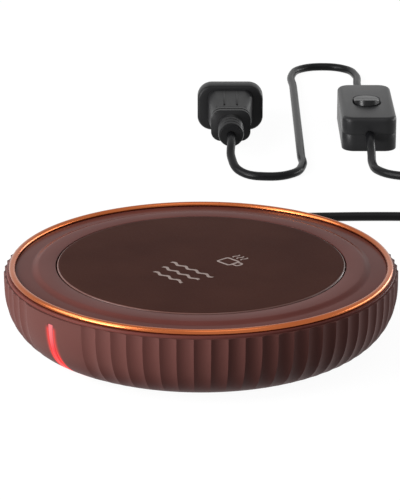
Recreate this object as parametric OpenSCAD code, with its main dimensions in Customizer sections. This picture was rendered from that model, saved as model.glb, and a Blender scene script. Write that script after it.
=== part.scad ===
// Electric mug warmer: a round fluted housing with a flush heating plate, a trim ring and an
// indicator light bar, on a lead with an in-line rocker switch and a two-blade plug.
// Millimetres, +Z up. The origin is on the table, under the centre of the housing.

/* [Housing] */
// Width of the cover, from the plate's edge to the widest line
cover_w = 17.5; // [16:0.1:20]
// Height of the widest line above the table
waist_z = 21.7; // [21:0.1:23]
// Radius of the rounded side, from the widest line to the underside
side_r = 22.6; // [22:0.1:24]
// Height of the underside above the table
underside_z = 0.8; // [0.6:0.1:1.2]
// Height of the straight rim above the widest line
rim_h = 2.1; // [1.8:0.1:3]
// Wall and floor thickness of the housing
wall = 2.2; // [1.8:0.1:2.6]

/* [Flutes] */
// Places for flutes round the side
flute_count = 76; // [68:4:80]
// Places left smooth for the indicator panel
panel_places = 5; // [3:2:9]
// Depth of a flute at the widest line
flute_depth = 0.6; // [0.3:0.05:0.7]
// How fast the flutes grow shallow towards the underside
flute_fade = 1.2; // [0.8:0.1:2]
// Direction of the indicator panel, counter-clockwise from +X
panel_angle = 223; // [215:1:230]

/* [Trim ring] */
// Thickness of the round trim ring
bead_d = 2.1; // [1.6:0.1:2.4]
// Distance from the widest line in to the middle of the ring
bead_inset = 2.75; // [2.5:0.05:3]
// Width of the ring's foot, which sits in the cover's groove
bead_foot_w = 1.6; // [1:0.1:1.8]
// Depth of the groove
groove_depth = 0.5; // [0.4:0.05:0.6]

/* [Top cover] */
// Wall thickness of the cover
cover_t = 1.8; // [1.5:0.1:2.2]
// Height of the cover's outer edge
cover_edge_h = 0.8; // [0.6:0.1:1.2]
// Distance from the widest line in to the cover's edge
cover_edge_inset = 0.9; // [0.8:0.1:1]
// Height of the outer band above the housing's rim
band_h = 1.1; // [1:0.1:1.4]
// Height of the soft step from the outer band to the inner ring
step_h = 0.8; // [0.4:0.1:1.2]
// Distance from the widest line in to the outer edge of the soft step
step_inset = 8.8; // [8:0.1:10]
// Width of the soft step
step_w = 3; // [2:0.1:4]
// Length of the skirt that centres the cover in the housing
skirt_h = 1.8; // [1.2:0.1:2]
// Thickness of the skirt
skirt_t = 1.3; // [1:0.1:1.5]

/* [Heating plate] */
// Diameter of the plate
plate_d = 95; // [90:1:97]
// Gap round the plate
plate_gap = 0.4; // [0.2:0.1:0.6]
// Height of the plate above the cover
plate_proud = 0.2; // [0:0.1:0.4]
// Bevel round the plate's top edge
plate_bevel = 0.35; // [0.2:0.05:0.5]
// Width of the flange under the cover
flange_w = 2.5; // [2:0.1:3]
// Thickness of the flange
flange_t = 1; // [0.8:0.1:1.4]
// Thickness of the seal between flange and cover
seal_t = 0.5; // [0.3:0.1:0.8]

/* [Heater] */
// Distance from the plate's edge in to the heater's edge
heater_inset = 2; // [1:0.5:4]
// Thickness of the mica sheet
mica_t = 0.5; // [0.3:0.1:0.8]
// Thickness of the resistance track
track_t = 0.3; // [0.2:0.1:0.4]
// Width of the resistance track
track_w = 3; // [2:0.5:4]
// Distance from one turn of the track to the next
track_pitch = 5.6; // [5:0.1:6]
// Thickness of the insulation pad
insulation_t = 2.7; // [2:0.1:3]
// Thickness of the steel retainer
retainer_t = 0.8; // [0.6:0.1:1]
// Diameter of the thermostat's cap
thermostat_d = 16; // [14:0.5:17]
// Height of the thermostat's body below the retainer
thermostat_h = 8.5; // [7:0.5:9]

/* [Fixings] */
// Distance from the edge of the flat underside in to a foot
foot_inset = 1; // [0.6:0.1:3]
// Diameter of a foot
foot_d = 12; // [10:0.5:12]
// Depth of the foot's recess in the underside
foot_recess = 1; // [0.6:0.1:1.2]
// Diameter of the housing screws
screw_d = 2.9; // [2.5:0.1:3]
// Diameter of the small screws
small_screw_d = 2.2; // [1.8:0.1:2.3]
// Height of the screw bosses above the floor
boss_h = 3; // [2.6:0.1:4]
// Width of the hexagonal pillars over their corners
pillar_d = 6.4; // [6:0.1:7]
// Diameter of the bosses under the cover
cover_boss_d = 5.6; // [5:0.1:6]
// Free distance between the plate's flange and the bosses under the cover
cover_boss_gap = 1.6; // [1:0.1:2]

/* [Indicator] */
// Width of the light bar
bar_w = 2.2; // [1.6:0.1:3]
// Angle from the waist down to the light bar's top
bar_top_angle = 2; // [1:1:6]
// Angle from the waist down to the light bar's lower end
bar_low_angle = 56; // [45:1:56]
// Width of the light bar's inner flange
bar_flange_w = 7; // [5:0.5:8]
// Thickness of the light bar's inner flange
bar_flange_t = 1.2; // [1:0.1:1.5]
// Length of the indicator board
led_board_l = 14; // [12:0.5:14]

/* [Electrics] */
// Free distance between the control board and the pillars
board_gap = 1.9; // [1.5:0.1:4]
// Length of the control board
board_l = 30; // [28:1:30]
// Distance from the housing's centre to the board's middle, towards the front
board_y = 25; // [25:0.5:26]
// Thickness of the circuit boards
board_t = 1.6; // [1.2:0.2:2]
// Height of the board posts above the floor
board_post_h = 4; // [3:0.5:5]
// Width of the terminal block
terminal_w = 24; // [20:1:26]
// Length of the terminal block
terminal_l = 14; // [12:1:14]
// Height of the terminal block
terminal_h = 11; // [9:0.5:12]
// Distance from the centre to the terminal block's middle, towards the rear
terminal_y = 30; // [29:0.5:32]

/* [Lead] */
// Diameter of the lead
cord_d = 3.4; // [3.2:0.1:3.6]
// Height of the gland's axis above the table
gland_z = 9; // [8.5:0.1:9.5]
// Diameter of the gland's neck
gland_d = 8.3; // [7.5:0.1:9]
// Diameter of the gland's two collars
collar_d = 11.2; // [10.5:0.1:11.6]
// Thickness of the wall that the gland sits in
gland_wall = 5; // [4:0.5:6]
// Depth of the gland's pocket, at its axis
pocket_depth = 2.1; // [1.5:0.1:2.5]
// Length of the tapered boot behind the gland
boot_l = 22; // [20:1:24]
// Diameter of the boot's thin end
boot_tip_d = 5.6; // [5:0.1:6.5]
// Inner radius of the stored coil
coil_inner_r = 13.2; // [12.8:0.1:13.3]
// Outer radius of the stored coil
coil_outer_r = 23.6; // [23.5:0.1:24]
// Height of the stored coil
coil_h = 7; // [6.9:0.1:7.4]

/* [Switch] */
// Length of the in-line switch
switch_l = 50; // [48:0.5:52]
// Width of the in-line switch
switch_w = 22; // [21:0.5:24]
// Height of the in-line switch
switch_h = 14; // [13.5:0.1:15]
// Corner radius of the switch
switch_corner = 5; // [3:0.5:6]
// Chamfer round the switch's top
switch_chamfer = 1.6; // [1:0.1:2]
// Wall thickness of the switch
switch_wall = 1.8; // [1.4:0.1:2]
// Width of the rocker
rocker_w = 10.4; // [9:0.1:11]
// Length of the rocker
rocker_l = 14.8; // [13:0.1:15]
// Free gap round the rocker
rocker_gap = 0.3; // [0.25:0.05:0.4]
// Tilt of the rocker to either side
rocker_tilt = 8; // [6:0.5:9]
// Diameter of the rocker's pivot pins
pivot_d = 2; // [1.6:0.1:2.4]
// Tilt of the contact blade to either side
blade_tilt = 4; // [3:0.5:4]

/* [Plug] */
// Width of the plug's front flange
plug_w = 27; // [25:0.5:28]
// Height of the plug's front flange
plug_h = 19; // [18:0.5:20]
// Length of the front flange
plug_flange_l = 8; // [6:0.5:9]
// Length of the tapered body
plug_body_l = 20; // [18:0.5:22]
// Width of the body behind the flange
plug_body_w = 18.7; // [17:0.1:20]
// Width of the body at the collar
plug_waist_w = 15; // [14:0.1:16]
// Length of the collar
plug_collar_l = 5; // [4:0.5:6]
// Length of the ribbed boot
plug_boot_l = 13.5; // [12:0.5:15]
// Diameter of the ribbed boot
plug_boot_d = 10.5; // [9:0.1:11]
// Distance between the blades
blade_pitch = 12.7; // [12.7:0.1:12.8]
// Width of a blade
blade_w = 6.35; // [6.3:0.05:6.4]
// Thickness of a blade
blade_t = 1.5; // [1.4:0.05:1.6]
// Length of the blades in front of the plug
blade_l = 17.5; // [16:0.1:18]

/* [Hidden] */
$fn = 96;

// Clearances
fit = 0.05;
loose = 0.1;
cut = 1;

// Heights, from the housing up to the plate and down again through the heater
floor_z = underside_z + wall;
rim_z = waist_z + rim_h;
edge_z = rim_z + cover_edge_h;
band_z = rim_z + band_h;
ring_z = band_z + step_h;
plate_z = ring_z + plate_proud;
groove_z = edge_z - groove_depth;
bead_z = groove_z + fit + bead_d / 2;
cover_under = ring_z - cover_t;
band_under = band_z - cover_t;
flange_z = cover_under - seal_t;
plate_under = flange_z - flange_t;
mica_z = plate_under - mica_t;
track_z = mica_z - track_t;
retainer_top = track_z - insulation_t;
retainer_z = retainer_top - retainer_t;
boss_z = floor_z + boss_h;
board_z = floor_z + board_post_h;

// Radii
plate_r = plate_d / 2;
body_r = plate_r + cover_w;
side_cr = body_r - side_r;
inner_r = side_r - wall;
bead_r = body_r - bead_inset;
bead_foot_r = max(bead_foot_w / 2, sqrt(pow(bead_d / 2, 2) - pow(bead_z - edge_z, 2))) + fit;
step_r = body_r - step_inset;
heater_r = plate_r - heater_inset;
underside_r = side_cr + sqrt(side_r * side_r - pow(waist_z - underside_z, 2));
foot_ring_r = underside_r - foot_inset - foot_d / 2;
flange_r = plate_r + flange_w;
cover_boss_r = flange_r + cover_boss_gap + cover_boss_d / 2;
head_r = screw_d * 0.98;
small_head_r = small_screw_d * 0.9;

// Board width and posts, from the board's middle
board_w = 2 * (foot_ring_r * cos(45) - pillar_d / 2 - board_gap);
post_x = board_w / 2 - 4;
post_y = board_l / 2 - 4;
board_posts = [for (sx = [-1, 1], sy = [-1, 1]) [sx * post_x, sy * post_y - board_y]];

// Holes for the heater's two wires
wire_holes = [[-20, 25], [20, 25]];
wire_hole_r = 2.2;

// Indicator board, on the radius through the middle of the light bar
bar_mid_angle = (bar_top_angle + bar_low_angle) / 2;
bar_flange_r = inner_r - loose - bar_flange_t;
led_board_r = bar_flange_r - 4;
led_board_t = 1.2;
peg_r = 0.9;
peg_z = led_board_l / 2 - 1.5;

// Gland
cord_r = cord_d / 2;
gland_out_y = side_cr + sqrt(side_r * side_r - pow(waist_z - gland_z, 2));
pocket_y = gland_out_y - pocket_depth;
gland_in_y = pocket_y - gland_wall;
collar_t = 2;
inner_collar_t = 1.6;
boot_root_d = gland_d + 0.5;
clamp_l = 5;
clamp_w = 17;
clamp_t = 3.5;
clamp_y = gland_in_y - inner_collar_t - 3 - clamp_l / 2;
clamp_screw_x = 5.7;
lead_in_y = clamp_y - clamp_l / 2 - 2.4;
core_gap = 0.35;

// Places of the coil, the switch and the plug on the table
coil_at = [106, 140];
switch_at = [68, 230];
plug_at = [12, 196];

// Switch heights and places
switch_mid = switch_h / 2;
pivot_z = switch_h - 3.4;
cheek_t = 1.6;
cheek_x = rocker_w / 2 + rocker_gap + cheek_t / 2;
contact_z = 5;
blade_plate_t = 0.5;
knuckle_r = 0.8;
knuckle_z = contact_z - knuckle_r;
contact_y = 6.5;
post_cheek_t = 0.9;
contact_blade_w = 3;
switch_screw_y = switch_l / 2 - 10;
switch_screw_x = switch_w / 2 - 4;
cord_hole_l = 6;

// Plug heights and lengths, from the tail to the face
plug_mid = plug_h / 2;
collar_y = plug_boot_l;
body_y = collar_y + plug_collar_l;
plug_flange_y = body_y + plug_body_l;
plug_face_y = plug_flange_y + plug_flange_l;
blade_root = 7;

// Routes of the lead, chosen by hand
lead_route = [[0, lead_in_y, gland_z], [0, 52, gland_z], [0, 64, gland_z], [0, 76, gland_z],
  [0, 86, 8.8], [1, 94, 7], [4, 102, 4.5], [11, 110, 2.4], [21, 115, 1.7], [33, 117, 1.7], [48, 118, 1.7], [66, 118.5, 1.7], [86, 118.2, 1.7],
  [106, 118.2, 1.7]];
run_route = [[106, 161.8, 5.1], [96, 162, 4.9], [86, 163, 3.4], [77, 167, 2.1], [70, 174, 1.8],
  [68, 183, 1.7], [68, 192, 3.5], [68, 200, 6.5], [68, 206, 7], [68, 211, 7]];
tail_route = [[68, 249, 7], [68, 256, 7], [68, 264, 6], [68, 274, 3], [68, 284, 1.7], [68, 298, 1.7],
  [68, 312, 1.7], [64, 322, 1.7], [54, 326, 1.7], [44, 322, 1.7], [40, 312, 1.7], [40, 294, 1.7],
  [40, 266, 1.7], [40, 238, 1.7], [40, 210, 1.7], [40, 193, 1.7], [40, 181, 1.7], [36, 171, 1.7],
  [26, 167, 1.7], [16, 171, 2.2], [12, 181, 5], [12, 190, 8.5], [12, 198, 9.5], [12, 206, 9.5]];

// ---- Shared shapes ----

// A point on the curve through four route points, between the second and the third
function between(a, b, c, d, t) = 0.5 * (2 * b + (c - a) * t
  + (2 * a - 5 * b + 4 * c - d) * t * t + (3 * b - a - 3 * c + d) * t * t * t);
// The route with one more point in each span
function smooth(p) = let (n = len(p) - 1) [for (i = [0 : n], t = [0, 0.5])
  if (i < n || t == 0) t == 0 ? p[i] : between(p[max(i - 1, 0)], p[i], p[i + 1], p[min(i + 2, n)], t)];
function unit(v) = v / norm(v);
// The corners of one ring, square to the route
function ring(p, i, r, sides, ref) = let (n = len(p) - 1,
    along = unit(p[min(i + 1, n)] - p[max(i - 1, 0)]),
    across = unit(cross(along, ref)), up = cross(across, along))
  [for (k = [0 : sides - 1]) p[i] + r * (across * cos(360 * k / sides) + up * sin(360 * k / sides))];

// A round tube along a route, never lower than the table; ref is a direction that the route never takes
module tube(route, r, sides = 8, ref = [0, 0, 1]) {
  p = [for (q = smooth(route)) [q[0], q[1], max(q[2], r)]];
  n = len(p);
  corners = [for (i = [0 : n - 1], c = ring(p, i, r, sides, ref)) c];
  walls = [for (i = [0 : n - 2], k = [0 : sides - 1]) let (j = (k + 1) % sides)
    [i * sides + k, i * sides + j, (i + 1) * sides + j, (i + 1) * sides + k]];
  start = [[for (k = [sides - 1 : -1 : 0]) k]];
  end = [[for (k = [0 : sides - 1]) (n - 1) * sides + k]];
  polyhedron(points = corners, faces = concat(walls, start, end), convexity = 10);
}

// Copies at the four corners of a square on a circle of radius r, the first at angle a
module four(r, a) {
  for (i = [0 : 3]) rotate(a + i * 90) translate([r, 0, 0]) rotate(-a - i * 90) children();
}

// A pan-head screw that points up from z = 0
module screw_up(d, head, length) {
  cylinder(r = head, h = d * 0.55, $fn = 32);
  cylinder(d = d, h = length, $fn = 32);
}

// A flat outline with round corners
module round_rect(w, l, r) {
  square([w - 2 * r, l], center = true);
  square([w, l - 2 * r], center = true);
  for (x = [-1, 1], y = [-1, 1]) translate([x * (w / 2 - r), y * (l / 2 - r)]) circle(r = r, $fn = 48);
}

// A flat outline with half-round ends, along Y
module stadium(w, l) {
  square([w, l - w], center = true);
  for (y = [-1, 1]) translate([0, y * (l - w) / 2]) circle(d = w, $fn = 64);
}

// ---- Housing ----

// Half section of the bowl, shrunk by inset and open above top
module side_section(inset, top) {
  intersection() {
    union() {
      translate([side_cr, waist_z]) circle(r = side_r - inset);
      square([side_cr, top]);
      translate([0, waist_z]) square([body_r - inset, top - waist_z]);
    }
    translate([0, underside_z + inset]) square([body_r, top - underside_z - inset]);
  }
}

// Columns of the fluted outside, counter-clockwise from the panel: [direction, hollow from 0 to 1]
flute_cuts = 3;
columns = [for (k = [0 : flute_count - 1], j = [0 : flute_cuts - 1]) let (smooth_place = k < panel_places)
  if (!smooth_place || j % 2 == 0) [panel_angle + (k - panel_places / 2 + j / flute_cuts) * 360 / flute_count,
    smooth_place ? 0 : 1 - pow(2 * j / flute_cuts - 1, 2)]];
// Rows from above the rim to below the underside: [height above the waist, angle below the waist]
side_rows = 6;
low_angle = asin((waist_z - underside_z) / side_r) + 5;
rows = concat([[rim_h + cut, 0]], [for (i = [0 : side_rows]) [0, low_angle * i / side_rows]]);
// A point of the outside, in column c and row r; the flutes grow shallow towards the underside
function side_point(c, r) = let (hollow = c[1] * max(0, flute_depth - flute_fade * (1 - cos(r[1]))),
    out = side_cr + (side_r - hollow) * cos(r[1]))
  [out * cos(c[0]), out * sin(c[0]), waist_z + r[0] - (side_r - hollow) * sin(r[1])];

// The housing's outside as a closed solid, before its rim and underside are cut flat
module fluted_solid() {
  n = len(columns);
  m = len(rows);
  skin = [for (i = [0 : m - 2], k = [0 : n - 1]) let (j = (k + 1) % n)
    [i * n + k, i * n + j, (i + 1) * n + j, (i + 1) * n + k]];
  top = [[for (k = [n - 1 : -1 : 0]) k]];
  bottom = [[for (k = [0 : n - 1]) (m - 1) * n + k]];
  polyhedron(points = [for (r = rows, c = columns) side_point(c, r)], faces = concat(skin, top, bottom),
    convexity = 10);
}

// A slice of the side's section between two angles below the waist, w wide, at the panel
module side_slice(w, outer, inner, low, high) {
  rotate(panel_angle) translate([side_cr, 0, waist_z]) rotate([90, 0, 0])
    linear_extrude(height = w, center = true) difference() {
      intersection() {
        circle(r = outer);
        polygon([[0, 0], 2 * outer * [cos(low), -sin(low)], 2 * outer * [cos(high), -sin(high)]]);
      }
      circle(r = inner);
    }
}

module vent_slots() {
  for (side = [-1, 1], i = [-2 : 2])
    translate([side * 24, i * 5, 0]) rotate(90) linear_extrude(height = floor_z + cut) stadium(2, 14);
}

// What stands on the floor inside the housing
module floor_posts() {
  low = underside_z + wall / 2;
  four(foot_ring_r, 45) translate([0, 0, low]) cylinder(r = head_r + 1.7, h = boss_z - low);
  for (p = board_posts) translate([p[0], p[1], low]) cylinder(r = 2.6, h = board_z - low);
  // Saddle under the lead
  translate([-clamp_w / 2, clamp_y - clamp_l / 2, low]) cube([clamp_w, clamp_l, gland_z - low]);
  // Thick wall round the gland
  translate([0, gland_in_y, gland_z]) rotate([-90, 0, 0]) cylinder(r = collar_d / 2 + 2.2, h = 20);
}

module base_shell() {
  color("#6a4c49") difference() {
    fluted_solid();
    translate([0, 0, rim_z]) cylinder(r = body_r + cut, h = 2 * cut);
    translate([0, 0, underside_z - 2 * cut]) cylinder(r = body_r, h = 2 * cut);
    difference() {
      rotate_extrude() side_section(wall, rim_z + cut);
      floor_posts();
    }
    four(foot_ring_r, 45) {
      cylinder(d = foot_d + 2 * loose, h = underside_z + foot_recess);
      cylinder(r = head_r + 0.3, h = underside_z + foot_recess + screw_d * 0.55 + loose);
      cylinder(d = screw_d + 0.4, h = boss_z + cut);
    }
    for (p = board_posts) translate([p[0], p[1], floor_z + 0.4]) cylinder(d = small_screw_d, h = 10);
    for (x = [-1, 1]) translate([x * clamp_screw_x, clamp_y, floor_z]) cylinder(d = small_screw_d, h = 20);
    translate([0, clamp_y, gland_z]) rotate([90, 0, 0])
      cylinder(r = cord_r + fit, h = clamp_l + cut, center = true);
    translate([0, gland_in_y - cut, gland_z]) rotate([-90, 0, 0]) cylinder(d = gland_d + 2 * fit, h = 20);
    translate([0, pocket_y, gland_z]) rotate([-90, 0, 0]) cylinder(d = collar_d + 0.6, h = 20);
    translate([0, gland_in_y, gland_z]) rotate([90, 0, 0]) cylinder(d = collar_d + 0.6, h = inner_collar_t + 2);
    side_slice(bar_w + 2 * loose, side_r + cut, inner_r - cut, bar_low_angle + 0.3, bar_top_angle - 0.3);
    vent_slots();
  }
}

module feet() {
  color("#1c1a1a") four(foot_ring_r, 45) rotate_extrude() difference() {
    square([foot_d / 2, underside_z + foot_recess]);
    translate([foot_d / 2 - 0.3, 0]) rotate(-45) square(1, center = true);
  }
}

module housing_screws() {
  color("#9a9a98") four(foot_ring_r, 45) translate([0, 0, underside_z + foot_recess + loose])
    screw_up(screw_d, head_r, boss_z - underside_z - foot_recess + 6);
}

module pillars() {
  color("#b9a15c") four(foot_ring_r, 45) difference() {
    union() {
      translate([0, 0, boss_z]) cylinder(d = pillar_d, h = retainer_z - boss_z, $fn = 6);
      cylinder(d = pillar_d * 0.6, h = retainer_top);
    }
    translate([0, 0, -cut]) cylinder(d = pillar_d + cut, h = boss_z + cut);
    cylinder(d = screw_d + 2 * fit, h = retainer_top - 0.6);
  }
}

// ---- Top ----

// Half section of the cover from the opening to the edge
module cover_section() {
  steps = 12;
  open_r = plate_r + plate_gap;
  skirt_r = body_r - wall - loose;
  edge_r = body_r - cover_edge_inset;
  soft_step = [for (i = [0 : steps])
    [step_r - step_w * (1 - i / steps), ring_z - step_h * (1 - cos(180 * i / steps)) / 2]];
  polygon(concat(
    [[open_r, cover_under], [open_r, ring_z - 0.2], [open_r + 0.2, ring_z]],
    soft_step,
    [[bead_r - bead_d / 2 - fit, band_z], [bead_r - bead_d / 2 - fit, edge_z],
     [bead_r - bead_foot_r, edge_z], [bead_r - bead_foot_r, groove_z],
     [bead_r + bead_foot_r, groove_z], [bead_r + bead_foot_r, edge_z],
     [edge_r - 0.4, edge_z], [edge_r, edge_z - 0.4], [edge_r, rim_z],
     [skirt_r, rim_z], [skirt_r, rim_z - skirt_h], [skirt_r - skirt_t, rim_z - skirt_h],
     [skirt_r - skirt_t, band_under], [step_r - step_w + 1, band_under],
     [step_r - step_w, cover_under]]));
}

module top_cover() {
  color("#64474a") difference() {
    union() {
      rotate_extrude() cover_section();
      four(cover_boss_r, 0) translate([0, 0, retainer_top])
        cylinder(d = cover_boss_d, h = band_under - retainer_top + cover_t / 2);
    }
    four(cover_boss_r, 0) translate([0, 0, retainer_top - cut]) cylinder(d = small_screw_d + 2 * fit, h = 5 + cut);
  }
}

module trim_ring() {
  color("#c77a52") rotate_extrude() translate([bead_r, 0]) {
    translate([0, bead_z]) circle(d = bead_d);
    translate([-bead_foot_w / 2, groove_z]) square([bead_foot_w, bead_z - groove_z]);
  }
}

module heating_plate() {
  color("#4d342f") rotate_extrude() polygon([[0, plate_under], [flange_r, plate_under],
    [flange_r, flange_z], [plate_r, flange_z], [plate_r, plate_z - plate_bevel],
    [plate_r - plate_bevel, plate_z], [0, plate_z]]);
}

module plate_seal() {
  color("#2a2626") translate([0, 0, flange_z]) linear_extrude(height = seal_t) difference() {
    circle(r = flange_r);
    circle(r = plate_r + plate_gap + 0.2);
  }
}

// ---- Heater ----

module mica_sheet() {
  color("#b8a98a") translate([0, 0, mica_z]) cylinder(r = heater_r, h = mica_t);
}

// A flat track that runs round and back in rings, with its two ends at the wire holes
module heater_track() {
  turns = floor((heater_r - 12) / track_pitch);
  outer = heater_r - 2;
  gap = 4;
  color("#8f8f8c") translate([0, 0, track_z]) linear_extrude(height = track_t) {
    for (i = [0 : turns - 1]) difference() {
      circle(r = outer - i * track_pitch);
      circle(r = outer - i * track_pitch - track_w);
      translate([-gap / 2, i % 2 == 0 ? 0 : -heater_r]) square([gap, heater_r]);
    }
    // Links between one ring and the next
    for (i = [0 : turns - 2], s = [-1, 1]) {
      y = outer - (i + 1) * track_pitch - track_w;
      x = s * (gap / 2 + track_w / 2);
      translate([x - track_w / 2, i % 2 == 0 ? y : -y - track_pitch - track_w])
        square([track_w, track_pitch + track_w - 0.3]);
    }
  }
}

module insulation_pad() {
  color("#d8d2c4") translate([0, 0, retainer_top]) linear_extrude(height = insulation_t) difference() {
    circle(r = heater_r);
    circle(d = thermostat_d + 0.6);
    for (p = wire_holes) translate(p) circle(r = wire_hole_r);
  }
}

module retainer_plate() {
  color("#a4a5a4") translate([0, 0, retainer_z]) linear_extrude(height = retainer_t) difference() {
    union() {
      circle(r = flange_r);
      four(cover_boss_r, 0) circle(d = cover_boss_d + 2);
      for (i = [0 : 3]) rotate(i * 90) translate([flange_r - 4, -4]) square([cover_boss_r - flange_r + 4, 8]);
    }
    circle(d = thermostat_d + 0.6);
    four(cover_boss_r, 0) circle(d = small_screw_d + 0.4);
    four(foot_ring_r, 45) circle(d = pillar_d * 0.6 + 2 * fit);
    for (p = wire_holes) translate(p) circle(r = wire_hole_r);
    for (x = [-1, 1]) translate([x * (thermostat_d / 2 + 5), 0]) circle(d = small_screw_d + 2 * fit);
    // Lightening slots between the pillars
    for (i = [0 : 3]) rotate(i * 90) translate([foot_ring_r - 10, 0]) stadium(5, 26);
  }
}

module retainer_screws() {
  color("#9a9a98") four(cover_boss_r, 0) translate([0, 0, retainer_z - small_screw_d * 0.55])
    screw_up(small_screw_d, small_head_r, small_screw_d * 0.55 + retainer_t + 4.5);
}

module thermostat_cap() {
  color("#c4c4c2") translate([0, 0, retainer_z]) cylinder(d = thermostat_d, h = track_z - retainer_z);
}

module thermostat_body() {
  color("#3b2a22") union() {
    translate([0, 0, retainer_z - thermostat_h]) cylinder(d = thermostat_d - 1.4, h = thermostat_h);
    // Two flat terminals
    for (x = [-1, 1]) translate([x * 4 - 0.4, -2.4, retainer_z - thermostat_h - 4]) cube([0.8, 4.8, 5]);
  }
}

module thermostat_strap() {
  color("#a4a5a4") translate([0, 0, retainer_z - retainer_t]) linear_extrude(height = retainer_t) difference() {
    rotate(90) stadium(thermostat_d + 4, thermostat_d * 2 + 4);
    circle(d = thermostat_d - 1.4 + 2 * loose);
    for (x = [-1, 1]) translate([x * (thermostat_d / 2 + 5), 0]) circle(d = small_screw_d + 2 * fit);
  }
}

module strap_screws() {
  color("#9a9a98") for (x = [-1, 1])
    translate([x * (thermostat_d / 2 + 5), 0, retainer_z - retainer_t - small_screw_d * 0.55])
      screw_up(small_screw_d, small_head_r, small_screw_d * 0.55 + 2 * retainer_t);
}

fuse_r = 2;
fuse_y = 17;
fuse_z = retainer_z - fuse_r - 0.2;

module thermal_fuse() {
  color("#c9c6bd") translate([0, fuse_y, fuse_z]) rotate([0, 90, 0]) {
    cylinder(r = fuse_r, h = 10, center = true);
    cylinder(r = 0.5, h = 18, center = true, $fn = 24);
  }
}

module fuse_clip() {
  clip_t = 0.6;
  color("#a4a5a4") translate([0, fuse_y, 0]) rotate([90, 0, 90]) linear_extrude(height = 4, center = true)
    difference() {
      union() {
        translate([0, fuse_z]) circle(r = fuse_r + fit + clip_t);
        translate([-fuse_r - fit - clip_t, fuse_z]) square([2 * (fuse_r + fit + clip_t), retainer_z - fuse_z]);
        translate([-6, retainer_z - clip_t]) square([12, clip_t]);
      }
      translate([0, fuse_z]) circle(r = fuse_r + fit);
      translate([-fuse_r - fit, fuse_z]) square([2 * (fuse_r + fit), retainer_z]);
    }
}

// ---- Electrics ----

module terminal_block() {
  way = terminal_w / 4;
  color("#e4e0d6") translate([0, terminal_y, floor_z]) difference() {
    translate([-terminal_w / 2, -terminal_l / 2, 0]) cube([terminal_w, terminal_l, terminal_h]);
    for (x = [-1, 1]) translate([x * way, 0, 0]) {
      // Wire way and two screw wells
      translate([0, 0, 5]) rotate([90, 0, 0]) cylinder(r = 1.5, h = terminal_l + cut, center = true);
      for (y = [-1, 1]) translate([0, y * terminal_l / 4, 5]) cylinder(r = 1.6, h = terminal_h);
    }
    translate([0, 0, terminal_h - 3]) cube([1.4, terminal_l + cut, 7], center = true);
  }
}

module terminal_screws() {
  color("#9a9a98") for (x = [-1, 1], y = [-1, 1])
    translate([x * terminal_w / 4, terminal_y + y * terminal_l / 4, floor_z + 6.5]) cylinder(r = 1.55, h = 3.4);
}

module control_board() {
  color("#2f5b3a") translate([0, 0, board_z]) linear_extrude(height = board_t) difference() {
    translate([0, -board_y]) square([board_w, board_l], center = true);
    for (p = board_posts) translate(p) circle(d = small_screw_d + 0.4);
  }
}

module board_screws() {
  color("#9a9a98") for (p = board_posts) translate([p[0], p[1], board_z + board_t]) {
    cylinder(r = small_head_r, h = 1.3, $fn = 32);
    translate([0, 0, -board_t - 3]) cylinder(d = small_screw_d - 2 * fit, h = board_t + 3, $fn = 32);
  }
}

module triac() {
  color("#222222") translate([-14, -board_y, board_z + board_t]) {
    translate([-5, -4.5, 0]) cube([10, 9, 4.4]);
    translate([-5, 4.5, 0]) difference() {
      cube([10, 6, 1.3]);
      translate([5, 3, -cut]) cylinder(r = 1.7, h = 4);
    }
    for (x = [-2.5, 0, 2.5]) translate([x - 0.4, -7.5, 0]) cube([0.8, 3, 0.6]);
  }
}

module capacitor() {
  color("#b5462f") translate([13, -board_y - 4, board_z + board_t]) linear_extrude(height = 7)
    round_rect(13, 6, 1);
}

module control_chip() {
  color("#1b1b1b") translate([6, -board_y + 7, board_z + board_t]) {
    translate([-2.5, -2, 0.1]) cube([5, 4, 1.5]);
    for (x = [-1.8 : 1.2 : 1.8], s = [-1, 1]) translate([x - 0.2, s * 2.3 - 0.6, 0]) cube([0.4, 1.2, 0.4]);
  }
}

// ---- Indicator ----

module at_lamp() {
  rotate(panel_angle) translate([side_cr, 0, waist_z]) rotate([0, bar_mid_angle, 0]) children();
}

module light_bar() {
  color("#ff4a4a") union() {
    side_slice(bar_w, side_r, inner_r - loose - fit, bar_low_angle, bar_top_angle);
    side_slice(bar_flange_w, inner_r - loose, bar_flange_r, bar_low_angle + 2, bar_top_angle - 1.5);
    at_lamp() for (s = [-1, 1]) translate([led_board_r - led_board_t, 0, s * peg_z]) rotate([0, 90, 0])
      cylinder(r = peg_r, h = bar_flange_r - led_board_r + led_board_t, $fn = 32);
  }
}

module indicator_board() {
  color("#2f5b3a") at_lamp() difference() {
    translate([led_board_r - led_board_t, -3.5, -led_board_l / 2]) cube([led_board_t, 7, led_board_l]);
    for (s = [-1, 1]) translate([led_board_r - 3, 0, s * peg_z]) rotate([0, 90, 0])
      cylinder(r = peg_r + fit, h = 6, $fn = 32);
  }
}

module indicator_lamps() {
  color("#f2e6d8") at_lamp() for (z = [-2.6, 0, 2.6])
    translate([led_board_r, -1.4, z - 0.9]) cube([1.2, 2.8, 1.8]);
}

// ---- Gland and wires ----

module cord_clamp() {
  color("#2a2a2a") difference() {
    translate([-clamp_w / 2, clamp_y - clamp_l / 2, gland_z]) cube([clamp_w, clamp_l, clamp_t]);
    translate([0, clamp_y, gland_z]) rotate([90, 0, 0])
      cylinder(r = cord_r + fit, h = clamp_l + cut, center = true);
    for (x = [-1, 1]) translate([x * clamp_screw_x, clamp_y, 0]) cylinder(d = small_screw_d + 0.3, h = 30);
  }
}

module clamp_screws() {
  color("#9a9a98") for (x = [-1, 1]) translate([x * clamp_screw_x, clamp_y, gland_z + clamp_t]) {
    cylinder(r = small_head_r, h = 1.3, $fn = 32);
    translate([0, 0, -clamp_t - 4.5]) cylinder(d = small_screw_d - 2 * fit, h = clamp_t + 4.5, $fn = 32);
  }
}

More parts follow.
